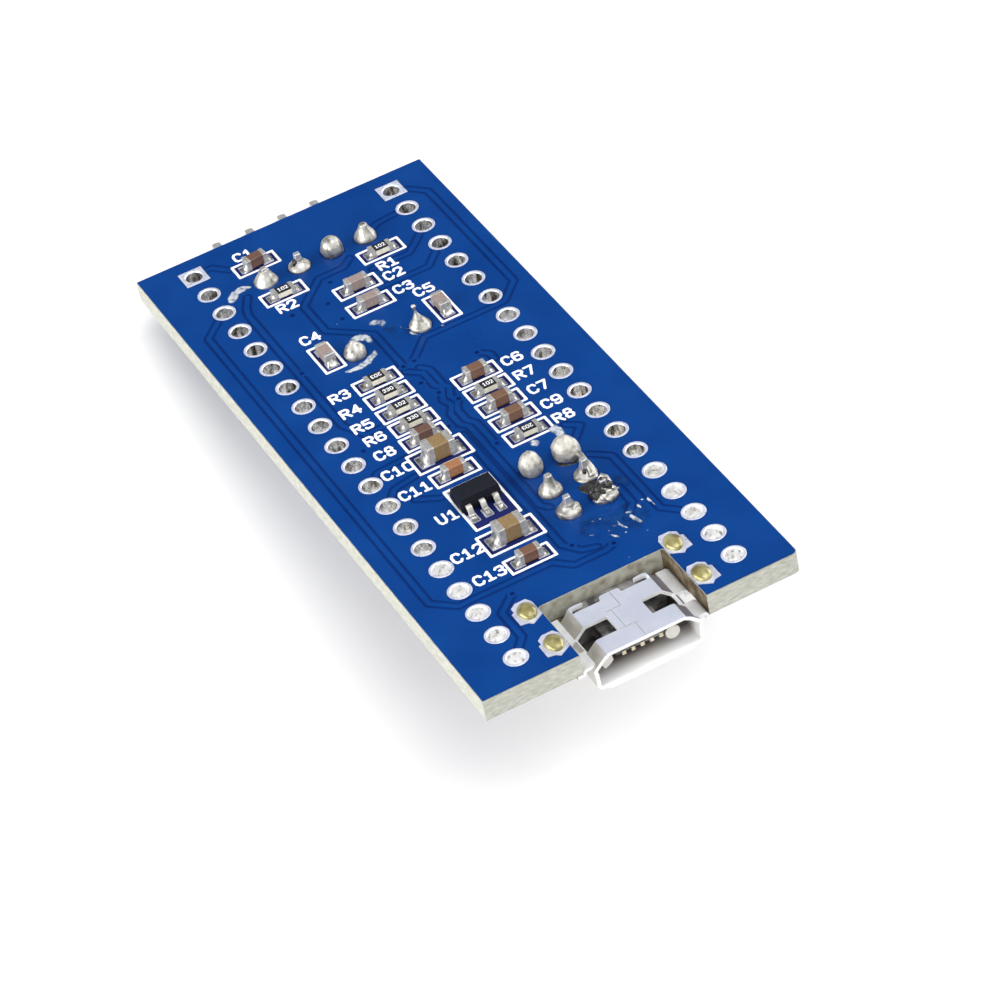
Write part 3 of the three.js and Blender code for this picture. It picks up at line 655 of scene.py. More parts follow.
VIAS = [(-0.35, 17.4), (-4.0, 15.75), (-1.5, 15.35), (-1.45, 13.2), (-0.45, 5.85), (0.4, 5.95), (-0.3, 3.55),
        (0.2, 1.9), (0.95, 0.5), (-1.05, 0.95), (-6.45, -0.35), (4.12, 4.05), (0.85, -5.2), (0.0, -17.1),
        (2.2, -18.55), (-5.1, -18.8), (-0.9, -1.65), (-6.2, 9.6)]


def pcb_outline(inset=0.0):
    """The board's edge: square corners, one worn round, and the notch for the receptacle."""
    worn, notch = 0.35, 0.2  # radii
    left, right, front, back = LEFT + inset, RIGHT - inset, FRONT + inset, BACK - inset
    half, deep = NOTCH_HALF + inset, NOTCH_BACK + inset
    quarter = [(math.cos(math.radians(a)), math.sin(math.radians(a))) for a in range(0, 91, 18)]
    points = [(left, front), (-half, front)]
    points += [(-half + notch - notch * c, deep - notch + notch * s) for c, s in quarter]
    points += [(half - notch + notch * c, deep - notch + notch * s) for c, s in quarter[::-1]]
    points += [(half, front)]
    points += [(right - worn + worn * s, front + worn - worn * c) for c, s in quarter]
    return points + [(right, back), (left, back)]


def is_square(y):
    return abs(y - ROW_Y[0]) < 0.01


HEADER_SPOTS = [(side * ROW_X, y) for side in (-1, 1) for y in ROW_Y]
PIN_SPOTS = [(p.x, p.y) for p in BOOT] + [(x, DEBUG_Y) for x in DEBUG_X] + [(p.x, p.y) for p in CRYSTAL]


def leg_pad(x, y, grow=0.0):
    """A land for one leg of the receptacle, with clipped corners, cut short where it meets the notch."""
    side = 1 if x > 0 else -1
    inner, near, far = NOTCH_HALF + 0.06, 5.55 + grow, 6.05 + grow
    low, high = y - 1.2 - grow, y + 1.15 + grow
    points = [(inner, low + 0.5), (near - 0.25, low), (near, low + 0.25), (far, low + 0.35), (far, y + 0.35),
              (far - 0.2, y + 0.45), (far - 0.2, high - 0.3), (near - 0.1, high), (inner + 0.25, high),
              (inner, high - 0.45)]
    return [(side * px, py) for px, py in points][::side]


def leg_slot(x, y, r=0.35):
    return capsule((x, y - 0.4), (x, y + 0.4), r)


def header_hole(x, y):
    return circle(x, y, HOLE_R + HOLE_MARGIN, 28)


def pin_hole(x, y):
    return circle(x, y, PIN_HOLE_R, 20)


def painted_runs(runs):
    """Copper runs: first all the grooves, then the mask that stands between each pair."""
    return [(kind, loop) for kind, half in (("gap", RUN_HALF + GROOVE), ("mask", RUN_HALF))
            for run in runs for loop in strokes(run, half, 4)]


def board_layers():
    """What the solder side's surface is, in painting order."""
    layers = [("mask", pcb_outline(BOARD_EDGE))] + painted_runs(RUNS)
    layers += [("mask", circle(x, y, VIA_R, 14)) for x, y in VIAS]
    layers += [("via", circle(x, y, VIA_DIP_R, 12)) for x, y in VIAS]
    for part in PARTS:
        a, b = (side / 2 - 0.06 for side in part.frame)
        layers.append(("bare", part.placed(rectangle(-a, a, -b, b))))
    x0, x1, y0, y1 = REGULATOR_FRAME
    layers.append(("bare", rectangle(x0 + 0.06, x1 - 0.06, y0 + 0.06, y1 - 0.06)))
    for x, y in HEADER_SPOTS:
        layers += [("gap", pad_outline(x, y, 0.05)), (None, header_hole(x, y))]
    for x, y in PIN_SPOTS:
        layers += [("gap", circle(x, y, PIN_CLEAR_R, 24)), (None, pin_hole(x, y))]
    for x, y in LEG_SLOTS:
        layers += [("gap", leg_pad(x, y, 0.05)), (None, leg_slot(x, y))]
    return layers


REGULATOR = middle("voltage_regulator")
REGULATOR_FRAME = (-4.15, -1.0, -12.1, -7.45)


def pad_outline(x, y, grow=0.0):
    if is_square(y):
        half = SQUARE_PAD + grow
        return rectangle(x - half, x + half, y - half, y + half)
    return circle(x, y, PAD_R + grow, 28)


# ------------------------------------------------------------------ the bare board

def in_notch(corner):
    return abs(corner[0]) < NOTCH_HALF + 0.01 and corner[1] < NOTCH_BACK + 0.01


def bare_board():
    heights = {"mask": 0.0, "gap": -COPPER_STEP, "bare": -FRAME_STEP, "via": -VIA_DIP}
    surface = relief(board_layers(), heights)
    core, notch, dark_brown = 4, 5, 6
    holes = [header_hole(x, y) for x, y in HEADER_SPOTS] + [pin_hole(x, y) for x, y in PIN_SPOTS]
    holes += [leg_slot(x, y) for x, y in LEG_SLOTS]
    surface.add(raised([pcb_outline()], UNDER + 0.05, -0.05, holes), core)
    # The notch's walls take a darker, browner tone than the outer edges, and the walls on its right side a
    # darker one still.
    for k, face in enumerate(surface.faces):
        corners = [surface.verts[v] for v in face]
        flat = max(c[2] for c in corners) - min(c[2] for c in corners) < 0.01
        if surface.slots[k] == core and not flat and all(in_notch(c) for c in corners):
            surface.slots[k] = dark_brown if min(c[0] for c in corners) > 3.0 else notch
    air = [(None, hole) for hole in holes]
    under = [("mask", pcb_outline(BOARD_EDGE))] + air + painted_runs(UNDER_RUNS) + air
    below = relief(under, {"mask": 0.0, "gap": -COPPER_STEP})
    flip = Matrix.Translation((0, 0, UNDER)) @ Matrix.Scale(-1, 4, (0, 0, 1))
    below.faces = [face[::-1] for face in below.faces]
    surface.join(below, flip)
    looks = ("mask", "gap", "bare", "via", "fibre", "notch_face", "dark_brown")
    make("bare_board", surface, looks, "solder_mask_board", stands_for=["pcb"], sharp=30)


UNDER_RUNS = [[(-7.62, y), (-6.6, y - 1.0), (-6.6, y - 3.2), (-5.2, y - 4.6)] for y in (13.97, 3.81, -1.27)]
UNDER_RUNS += [[(7.62, y), (6.6, y - 1.0), (6.6, y - 3.0), (5.4, y - 4.2)]
               for y in (11.43, 1.27, -3.81, -8.89)]
UNDER_RUNS += [
    [(-1.3, -19.6), (-1.3, -18.2), (-5.2, -14.9)],
    [(-0.65, -19.6), (-0.65, -17.4), (-0.2, -16.9), (-0.2, -5.6)],
    [(0.0, -19.6), (0.0, -17.6), (0.3, -17.2), (0.3, -16.2)],
    [(-9.7, 17.0), (-9.7, -16.0), (-8.0, -17.7)],
    [(9.6, 20.0), (9.6, -14.0), (8.0, -16.0)],
]


def eyelets():
    """Plated holes: a ring on each face and the barrel between them."""
    form = Form()
    bore = [(HOLE_R + 0.12, 0.026), (HOLE_R + 0.1, 0.01), (HOLE_R + 0.06, -0.05)]
    for x, y in HEADER_SPOTS:
        if is_square(y):
            outline, rim = square_ring, [(SQUARE_PAD, 0.0), (SQUARE_PAD, 0.012), (SQUARE_PAD - 0.02, 0.022)]
        else:
            outline, rim = circle, [(PAD_R, -0.02), (PAD_R, 0.012), (PAD_R - 0.025, 0.024)]
        for face_z, way in ((0.0, 1), (UNDER, -1)):
            skin = loft([[(px, py, face_z + way * h) for px, py in shape(x, y, r)]
                         for shape, steps in ((outline, rim), (circle, bore)) for r, h in steps],
                        caps=(False, False))
            form.add(skin if way > 0 else inside_out(skin))
        barrel = lathe([(HOLE_R + 0.06, -0.05), (HOLE_R + 0.05, -0.5), (HOLE_R + 0.05, UNDER + 0.5),
                        (HOLE_R + 0.06, UNDER + 0.05)], x, y)
        form.add(barrel, 2 if y < -13 else 1)  # the barrels near the USB end get the brighter look: painted light seen through their holes
    make("header_pads", form, ("pad", "barrel", "barrel_lit"), "tinned_wire", sharp=50)


def spun(x, y, degrees, points):
    """Points turned about the origin and moved to a place."""
    c, s = math.cos(math.radians(degrees)), math.sin(math.radians(degrees))
    return [(x + c * px - s * py, y + s * px + c * py) for px, py in points]


def plot(node, grow_x, grow_y=None):
    """The outline of a node seen from above, made larger."""
    low, high = box_mm(node)
    grow_y = grow_x if grow_y is None else grow_y
    return rectangle(low.x - grow_x, high.x + grow_x, low.y - grow_y, high.y + grow_y)


def component_side():
    """Lands and printed outlines on the face that the photo does not show."""
    lands = [plot(f"reset_terminal_{i}", 0.19, 0.15) for i in range(1, 5)]
    for i in range(1, 6):
        x = middle(f"usb_contact_{i}").x
        lands.append(rectangle(x - 0.2, x + 0.2, NOTCH_BACK + 0.15, NOTCH_BACK + 1.7))
    for node in ("power_led", "user_led"):
        low, high = box_mm(node)
        lands += [rectangle(x0, x1, low.y, high.y)
                  for x0, x1 in ((low.x - 0.35, low.x + 0.4), (high.x - 0.4, high.x + 0.35))]
    low, high = box_mm("clock_crystal")
    for y in (-1.0, 1.0):
        y += (low.y + high.y) / 2
        lands += [rectangle(x0, x1, y - 0.45, y + 0.45)
                  for x0, x1 in ((low.x + 0.05, low.x + 1.2), (high.x - 1.2, high.x + 0.35))]
    chip = middle("controller_chip")
    marks = [spun(chip.x, chip.y, 45, circle(4.14, 4.14, 0.2, 16))]
    for turn in (45, 135, 225, 315):
        for k in range(12):
            x = (k - 5.5) * 0.5
            lands.append(spun(chip.x, chip.y, turn, rectangle(x - 0.14, x + 0.14, 3.95, 5.0)))
        marks += strokes(spun(chip.x, chip.y, turn, [(3.2, 3.75), (3.75, 3.75), (3.75, 3.2)]), THIN_PEN, 4)
    lands += [leg_pad(x, y) for x, y in LEG_SLOTS]
    slots = [leg_slot(x, y, LEG_HOLE_R) for x, y in LEG_SLOTS]
    form = Form().add(raised(lands, UNDER - 0.014, UNDER + 0.05, slots))
    make("component_lands", form, ("pad",), "tinned_wire", sharp=30)

    can = middle("crystal_can")
    low, high = box_mm("crystal_can")
    paths = [[(can.x + x, can.y + y) for x, y in stadium(high.x - low.x + 0.5, high.y - low.y + 0.5)]]
    paths += [plot(f"{name}_header_block", 0.12) for name in ("boot", "debug")]
    paths += [plot(f"{name}_led", 0.6, 0.32) for name in ("power", "user")]
    for path in paths:
        marks += strokes(path, THIN_PEN, 4, closed=True)
    for node, short in (("clock_crystal", 0.4), ("reset_switch_base", 0.0)):
        low, high = box_mm(node)
        for y in (low.y - 0.25, high.y + 0.25):
            marks.append(capsule((low.x + short, y), (high.x - short, y), THIN_PEN, 4))
    form = Form().add(raised(marks, UNDER - INK, UNDER + COPPER_STEP))
    make("component_legend", form, ("ink",), "solder_mask_board", sharp=30)


def square_ring(x, y, half, n=32):
    """n points on a square, each in the direction of the same point of a circle."""
    points = []
    for i in range(n):
        a = 2 * math.pi * i / n
        c, s = math.cos(a), math.sin(a)
        k = half / max(abs(c), abs(s))
        points.append((x + k * c, y + k * s))
    return points


def legend():
    """White printing: a frame round each part and its designator."""
    loops = []
    for part in PARTS:
        a, b = (side / 2 for side in part.frame)
        loops += strokes(part.placed(rectangle(-a, a, -b, b)), PEN, closed=True)
        x, y = part.corner
        loops += written(part.text, x + 0.1, y + 0.1, 0.85, 0.52, 0.77, PEN)
    loops += strokes(rectangle(*REGULATOR_FRAME), PEN, closed=True)
    loops += written("U1", -5.7, -10.15, 0.88, 0.5, 0.78, PEN)
    form = Form().add(raised(loops, -COPPER_STEP, INK))
    make("legend", form, ("ink",), "solder_mask_board", sharp=30)


def pads():
    """Tinned lands that carry no hole: two for each chip part, and those of the receptacle's legs."""
    form = Form()
    for part in PARTS:
        for side in (-1, 1):
            span = sorted((side * part.inner, side * (part.outer - 0.12)))
            form.add(prism(part.placed(rounded(*span, -part.half, part.half, 0.06, 2)), PAD_FOOT, PAD_TOP))
    for x, y in LEG_SLOTS:
        form.add(raised([leg_pad(x, y)], -0.05, 0.014, [leg_slot(x, y, LEG_HOLE_R)]))
    for x, y in REGULATOR_LEADS:
        outer = 1 if y > REGULATOR.y else -1
        span = sorted((y - outer * 0.28, y + outer * 0.62))
        form.add(prism(rounded(x - 0.3, x + 0.3, *span, 0.06, 2), PAD_FOOT, PAD_TOP))
    make("lands", form, ("pad",), "tinned_wire", sharp=30)


LEG_HOLE_R = 0.33
REGULATOR_LEADS = [(REGULATOR.x + dx, REGULATOR.y - 1.25) for dx in (-0.95, 0.0, 0.95)]
REGULATOR_LEADS += [(REGULATOR.x + dx, REGULATOR.y + 1.25) for dx in (-0.95, 0.95)]


# ------------------------------------------------------------------ chip parts

def fillet(length, half, rise, seed):
    """A heap of solder on a land, from its outer edge at x = 0 up to a chip's end at x = length."""
    rows, columns = 9, 9
    verts, faces = [], []
    for i in range(rows):
        u = i / (rows - 1)
        for j in range(columns):
            v = 2 * j / (columns - 1) - 1
            side = 1 - abs(v) ** 5
            height = 0.015 + rise * (0.06 + 0.94 * u**2.4) * side
            height += 0.035 * side * wobble((u * 3, v * 3, seed), 1.0, seed)
            pull = 1 - 0.1 * u
            verts.append((u * length, v * half * pull, max(height, 0.012)))
    for i in range(rows - 1):
        for j in range(columns - 1):
            k = i * columns + j
            faces.append([k, k + columns, k + columns + 1, k + 1])
    return verts, faces


def chip_body(part):
    at = turned(part.centre.x, part.centre.y, 0, part.angle)
    base, top = part.low.z, part.high.z
    a, b = part.length / 2, part.width / 2
    form = Form()
    if part.resistor:
        end = 0.3
        form.add(box(-a + 0.02, a - 0.02, -b, b, base + 0.02, top - 0.05), 0, at)
        form.add(box(-a + end + 0.02, a - end - 0.02, -b + 0.02, b - 0.02, top - 0.06, top), 1, at)
        for side in (-1, 1):
            form.add(side_box(side, a - end, a, -b - 0.01, b + 0.01, base, top - 0.01), 2, at)
        marking = written(part.look, -0.34, -0.15, 0.3, 0.17, 0.26, 0.027)
        upside_down = 180 if part.text in ("R3", "R8") else 0
        flip = turned(part.centre.x, part.centre.y, 0, part.angle + upside_down)
        form.add(raised(marking, top - 0.001, top + 0.004), 3, flip)
        looks, slot, bevel, climb = ("cream", "glaze", "end", "ink"), "resistor_film", 0.03, 0.8
    else:
        end = 0.34 if part.length < 1.8 else 0.5
        form.add(box(-a + 0.05, a - 0.05, -b + 0.015, b - 0.015, base + 0.015, top - 0.015), 0, at)
        for side in (-1, 1):
            form.add(side_box(side, a - end, a, -b, b, base, top), 1, at)
        looks, slot, bevel, climb = (part.look, "end"), "brown_ceramic", 0.07, 0.62
    make(f"{part.node}_body", form, looks, slot, stands_for=[part.node], bevel=bevel, segments=3)
    outer = part.outer - 0.14
    number = int(part.text[1:]) + (20 if part.upright else 0)
    for k, turn in enumerate((0, math.pi)):
        heap = fillet(outer - a + 0.02, part.half - 0.04, (top - base) * climb, number + 50 * k)
        place = at @ Matrix.Rotation(turn, 4, "Z") @ Matrix.Translation((-outer, 0, 0))
        SMALL_SOLDER.add(heap, 0, place)


SMALL_SOLDER = Form()


def chip_parts():
    for part in PARTS:
        chip_body(part)
    for k, (x, y) in enumerate(REGULATOR_LEADS):
        side = 1 if y > REGULATOR.y else -1
        SMALL_SOLDER.add(fillet(0.42, 0.26, 0.1, 90 + k), 0, turned(x, y + side * 0.6, 0, -90 * side))
    make("chip_solder", SMALL_SOLDER, ("fillet",), "tinned_wire", sharp=60)


def bent_strip(path, x, half, metal):
    """A strip that follows (y, z) points. A third number at a point scales the strip there."""
    rings = []
    for k, (y, z, *scale) in enumerate(path):
        size = scale[0] if scale else 1.0
        (y0, z0), (y1, z1) = path[max(k - 1, 0)][:2], path[min(k + 1, len(path) - 1)][:2]
        along = Vector((y1 - y0, z1 - z0)).normalized()
        across = Vector((-along.y, along.x)) * metal / 2 * size
        wide = half * size
        rings.append([(x + side * wide, y + way * across.x, z + way * across.y)
                      for side, way in ((-1, -1), (1, -1), (1, 1), (-1, 1))])
    return loft(rings)


def gull_wing(shoulder, foot, rise, metal, half):
    """A formed lead: out of the body, down, and along the board. Runs along +y from the body's middle."""
    bend = (shoulder + foot) / 2 - 0.05
    return bent_strip([(shoulder - 0.2, rise), (shoulder + 0.08, rise), (bend - 0.06, rise - 0.06),
                       (bend, rise - 0.16), (bend + 0.1, metal + 0.12), (bend + 0.16, metal * 0.9),
                       (bend + 0.26, metal / 2), (foot, metal / 2)], 0, half, metal)


def moulded(half_x, half_y, z0, z1, parting, draft):
    """A moulded package: two drafted halves that meet at the parting line."""
    sections = (draft, z0), (0.0, parting - 0.02), (0.0, parting + 0.02), (draft, z1)
    return loft([[(x, y, z) for x, y in rectangle(-half_x + inset, half_x - inset,
                                                  -half_y + inset, half_y - inset)]
                 for inset, z in sections])


def regulator():
    low, high = box_mm("voltage_regulator")
    at = turned(REGULATOR.x, REGULATOR.y, low.z)
    body = Form().add(moulded(1.45, 0.8, 0.06, high.z - low.z, 0.58, 0.09), 0, at)
    for dx, turn in ((-0.95, 180), (0.0, 180), (0.95, 180), (-0.95, 0), (0.95, 0)):
        body.add(gull_wing(0.8, 1.4, 0.58, 0.15, 0.2), 1, at @ turned(dx, 0, 0, turn))
    make("regulator_package", body, ("epoxy", "solder"), "black_epoxy", stands_for=["voltage_regulator"],
         bevel=0.035, segments=3)


# ------------------------------------------------------------------ soldered joints

def joint(name, x, y, profile, seed, lean=(0.0, 0.0), rough=0.06, look="solder"):
    """One through-hole joint: (radius, height) points skinned with uneven rings."""
    n, rings = 36, []
    top = profile[-1][1]
    for r, z in smooth_profile(profile):
        t = z / top
        ring = []
        for i in range(n):
            a = 2 * math.pi * i / n
            c, s = math.cos(a), math.sin(a)
            uneven = 1 + rough * (wobble((c * 1.5, s * 1.5, z * 2), 1.0, seed) * 1.6
                                  + wobble((c * 4, s * 4, z * 5), 1.0, seed + 3) * 0.6)
            ring.append((x + lean[0] * t + r * c * uneven, y + lean[1] * t + r * s * uneven, z))
        rings.append(ring)
    make(name, Form().add(loft(rings, caps=(False, True))), (look,), "tinned_wire", sharp=80)


def spline(p0, p1, p2, p3, t):
    """A Catmull-Rom point between p1 and p2, which may be numbers or vectors."""
    return 0.5 * (2 * p1 + (p2 - p0) * t + (2 * p0 - 5 * p1 + 4 * p2 - p3) * t**2
                  + (3 * p1 - p0 - 3 * p2 + p3) * t**3)


def smooth_profile(points, steps=4):
    """A smooth curve through the given (radius, height) points."""
    ends = points[:1] + points + points[-1:]
    out = [tuple(spline(*four, k / steps) for four in zip(*ends[i:i + 4]))
           for i in range(len(points) - 1) for k in range(steps)]
    return [(max(r, 0.02), z) for r, z in out] + [points[-1]]


EGG = [(0.7, -0.02), (0.76, 0.25), (0.77, 0.55), (0.69, 0.92), (0.48, 1.25), (0.22, 1.46), (0.14, 1.5),
       (0.12, 1.6)]
BIG_EGG = [(0.82, -0.02), (0.9, 0.2), (0.93, 0.5), (0.84, 0.85), (0.58, 1.22), (0.3, 1.46), (0.16, 1.55)]
BELL = [(0.78, -0.02), (0.8, 0.1), (0.72, 0.3), (0.5, 0.55), (0.36, 0.85), (0.29, 1.15), (0.27, 1.3)]
BASE = [(0.82, -0.02), (0.84, 0.12), (0.76, 0.32), (0.55, 0.48), (0.42, 0.62), (0.38, 0.8)]
SKIRT = [(0.78, -0.02), (0.78, 0.1), (0.62, 0.3), (0.45, 0.45), (0.33, 0.6), (0.3, 0.75)]
PYRAMID = [(0.86, -0.02), (0.84, 0.12), (0.68, 0.38), (0.5, 0.62), (0.38, 0.85), (0.32, 1.0)]
DOME = [(0.72, -0.02), (0.78, 0.15), (0.77, 0.45), (0.68, 0.8), (0.46, 1.1), (0.22, 1.24), (0.13, 1.3)]
TEAR = [(0.78, -0.02), (0.79, 0.12), (0.7, 0.35), (0.5, 0.65), (0.36, 0.9), (0.3, 1.08), (0.26, 1.16)]
LOW_DOME = [(0.74, -0.02), (0.77, 0.12), (0.73, 0.35), (0.58, 0.62), (0.34, 0.86), (0.16, 1.02),
            (0.09, 1.14)]
SPIKE = [(0.78, -0.02), (0.74, 0.12), (0.58, 0.35), (0.38, 0.62), (0.2, 0.95), (0.1, 1.2), (0.085, 1.45),
         (0.15, 1.6), (0.15, 1.72), (0.05, 1.82)]


def joints():
    """One row for each joint: the pin, the outline, the seed, how far it leans and how rough it is."""
    shapes = [
        (BOOT[0], EGG, 1, (-0.05, 0.02), 0.055),
        (BOOT[3], BIG_EGG, 2, (-0.12, 0.0), 0.055),
        (BOOT[1], BELL, 3, (0.0, 0.0), 0.03),
        (BOOT[4], SKIRT, 4, (0.05, 0.0), 0.08),
        (BOOT[2], BASE, 5, (0.0, 0.0), 0.08),
        (BOOT[5], BASE, 6, (0.05, 0.0), 0.12),
    ]
    for i, (at, profile, seed, lean, rough) in enumerate(shapes):
        look = "fresh" if profile in (EGG, BIG_EGG) else "solder"
        joint(f"boot_joint_{i + 1}", at.x, at.y, profile, seed, lean, rough, look)
    for i, (x, profile) in enumerate(zip(DEBUG_X, (PYRAMID, SKIRT, DOME, TEAR))):
        joint(f"debug_joint_{i + 1}", x, DEBUG_Y, profile, 11 + i, (0, 0), 0.05)
    joint("crystal_joint_left", CRYSTAL[0].x, CRYSTAL[0].y, LOW_DOME, 21, (0.0, 0.05), 0.04)
    joint("crystal_joint_right", CRYSTAL[1].x, CRYSTAL[1].y, SPIKE, 22, (-0.22, 0.05), 0.06)
    for i, (x, y) in enumerate(LEG_SLOTS):
        rings = []
        for r, z in ((1.0, 0.0), (0.98, 0.12), (0.86, 0.24), (0.62, 0.33), (0.3, 0.38), (0.08, 0.39)):
            ring = []
            for c, s in circle(0, 0, 1):
                uneven = 1 + 0.06 * wobble((c, s, z), 1.0, 31 + i)
                ring.append((x + 0.62 * r * c * uneven, y + 0.8 * r * s * uneven, z))
            rings.append(ring)
        make(f"leg_joint_{i + 1}", Form().add(loft(rings, caps=(False, True))), ("amber",), "tinned_wire",
             sharp=80)


def blob(x, y, z, size, seed, rough=0.35):
    """A lumpy grain."""
    verts, faces = [], []
    rows, columns = 8, 12
    for i in range(rows + 1):
        phi = math.pi * i / rows
        for j in range(columns):
            a = 2 * math.pi * j / columns
            p = Vector((math.sin(phi) * math.cos(a), math.sin(phi) * math.sin(a), math.cos(phi)))
            k = 1 + rough * wobble(p * 1.5, 1.0, seed)
            verts.append((x + p.x * size[0] * k, y + p.y * size[1] * k, z + p.z * size[2] * k))
    for i in range(rows):
        for j in range(columns):
            a, b = i * columns + j, i * columns + (j + 1) % columns
            faces.append([a, a + columns, b + columns, b])
    return verts, faces


def strand(points, radii, seed, n=10):
    """A rod of solder drawn through some points, with its radius at each."""
    rings = []
    points = [Vector(p) for p in points]
    for i, (p, r) in enumerate(zip(points, radii)):
        along = (points[min(i + 1, len(points) - 1)] - points[max(i - 1, 0)]).normalized()
        side = along.cross(Vector((0, 0, 1)))
        side = side.normalized() if side.length > 0.05 else Vector((1, 0, 0))
        up = side.cross(along)
        rings.append([tuple(p + (side * math.cos(t) + up * math.sin(t)) * r
                            * (1 + 0.3 * wobble((i * 0.7, t, 0), 1.0, seed)))
                      for t in (2 * math.pi * k / n for k in range(n))])
    return loft(rings)


def burnt_joint():
    """The messy corner of the boot header: a bridge of solder and burnt flux."""
    a, b, c = BOOT[3], BOOT[4], BOOT[5]
    silver = Form()
    bridge = [(a.x + 0.38, a.y - 0.8, 0.5), (a.x + 0.4, a.y - 1.35, 0.62), (b.x + 0.36, b.y + 0.6, 0.7),
              (b.x + 0.32, b.y + 0.1, 0.78), (b.x + 0.3, b.y - 0.35, 0.62), (b.x + 0.25, b.y - 0.6, 0.3)]
    silver.add(strand(bridge, (0.24, 0.2, 0.16, 0.2, 0.28, 0.32), 41))
    arc = [(c.x + 0.1, c.y + 0.75, 0.8), (c.x + 0.32, c.y + 0.72, 1.0), (c.x + 0.5, c.y + 0.4, 1.02),
           (c.x + 0.54, c.y + 0.05, 0.8), (c.x + 0.5, c.y - 0.25, 0.5)]
    silver.add(strand(arc, (0.12, 0.16, 0.13, 0.13, 0.16), 42))
    silver.add(strand([(c.x + 0.55, c.y - 0.2, 0.4), (c.x + 0.85, c.y - 0.45, 0.5)], (0.08, 0.05), 43))
    for k, (dx, dy, z, size) in enumerate(((-0.28, -0.42, 0.28, 0.34), (0.1, -0.62, 0.25, 0.36),
                                           (0.42, -0.5, 0.28, 0.32), (0.1, -0.3, 0.5, 0.28))):
        silver.add(blob(c.x + dx, c.y + dy, z, (size, size, size * 0.85), 50 + k))
    for k, (dx, dy) in enumerate(((-0.4, -0.2), (0.35, -0.35), (0.1, 0.4))):
        silver.add(blob(BOOT[2].x + dx, BOOT[2].y + dy, 0.25, (0.34, 0.34, 0.26), 60 + k))
    make("boot_solder_bridge", silver, ("solder",), "tinned_wire", sharp=80)
    dark = Form()
    for k, (dx, dy, z, size) in enumerate((
            (0.0, 0.02, 1.12, 0.32), (0.05, 0.0, 0.85, 0.4), (-0.2, 0.15, 0.6, 0.42),
            (-0.58, -0.08, 0.3, 0.4), (-0.55, 0.4, 0.3, 0.42), (0.1, 0.65, 0.35, 0.34),
            (0.6, 0.3, 0.3, 0.26), (0.3, 0.0, 0.65, 0.36), (-0.2, -0.3, 0.62, 0.22))):
        dark.add(blob(c.x + dx, c.y + dy, z, (size, size, size * 0.9), 70 + k, rough=0.5))
    # Painted shade: a small dark lump on the left of joint 5 stands for the dark void in that joint.
    dark.add(blob(b.x - 0.17, b.y - 0.3, 0.56, (0.14, 0.14, 0.2), 90, rough=0.3))
    dark.add(blob(DEBUG_X[1] - 0.28, DEBUG_Y - 0.12, 0.55, (0.22, 0.2, 0.28), 91, rough=0.4))
    dark.add(puddle([(b.x - 0.95, b.y - 0.75), (b.x - 0.3, b.y - 0.8), (b.x + 0.35, b.y - 0.9),
                     (b.x + 0.3, b.y - 1.7), (b.x - 0.5, b.y - 2.0), (b.x - 1.0, b.y - 1.4)], 0.12, 95))
    # A thin dark crescent that follows the lower side of the egg at BOOT[3].
    dark.add(puddle([(a.x - 1.0, a.y - 0.3), (a.x - 0.85, a.y - 0.8), (a.x - 0.2, a.y - 1.12),
                     (a.x + 0.55, a.y - 1.0), (a.x + 0.4, a.y - 0.8), (a.x - 0.2, a.y - 0.9),
                     (a.x - 0.75, a.y - 0.5)], 0.1, 96))
    make("burnt_flux", dark, ("char",), "tinned_wire", sharp=80)


def edge_distance(outline, x, y):
    """How far a point is from a closed outline."""
    here, nearest = Vector((x, y)), 99.0
    for a, b in zip(outline, outline[1:] + outline[:1]):
        start, along = Vector(a), Vector(b) - Vector(a)
        t = (here - start).dot(along) / max(along.length_squared, 1e-9)
        nearest = min(nearest, (here - start - along * max(0.0, min(1.0, t))).length)
    return nearest


def puddle(points, thickness, seed, step=0.14, feather=0.3):
    """A thin uneven film with a wavy feathered edge through some points."""
    outline = []
    n = len(points)
    for i in range(n):
        p0, p1, p2, p3 = (Vector(points[(i + k - 1) % n]) for k in range(4))
        for k in range(5):
            p = spline(p0, p1, p2, p3, k / 5)
            w = 0.09 * wobble((p.x * 3, p.y * 3, 0), 1.0, seed)
            outline.append((p.x + w, p.y - w))
    xs, ys = [q[0] for q in outline], [q[1] for q in outline]
    guides = [((x, min(ys)), (x, max(ys))) for x in np.arange(min(xs) + step / 2, max(xs), step)]
    guides += [((min(xs), y), (max(xs), y)) for y in np.arange(min(ys) + step / 2, max(ys), step)]
    verts, faces = cut_plane([outline], guides)
    centres = verts[faces].mean(axis=1)
    faces = faces[inside(outline, centres)]

    def lay(x, y, h):
        if h < 0:
            return x, y, 0.001
        rise = min(1.0, edge_distance(outline, x, y) / feather)
        return x, y, 0.003 + thickness * rise * (0.75 + 0.5 * wobble((x, y, 0), 0.35, seed))

    return thick(verts, faces, lay, 1.0)


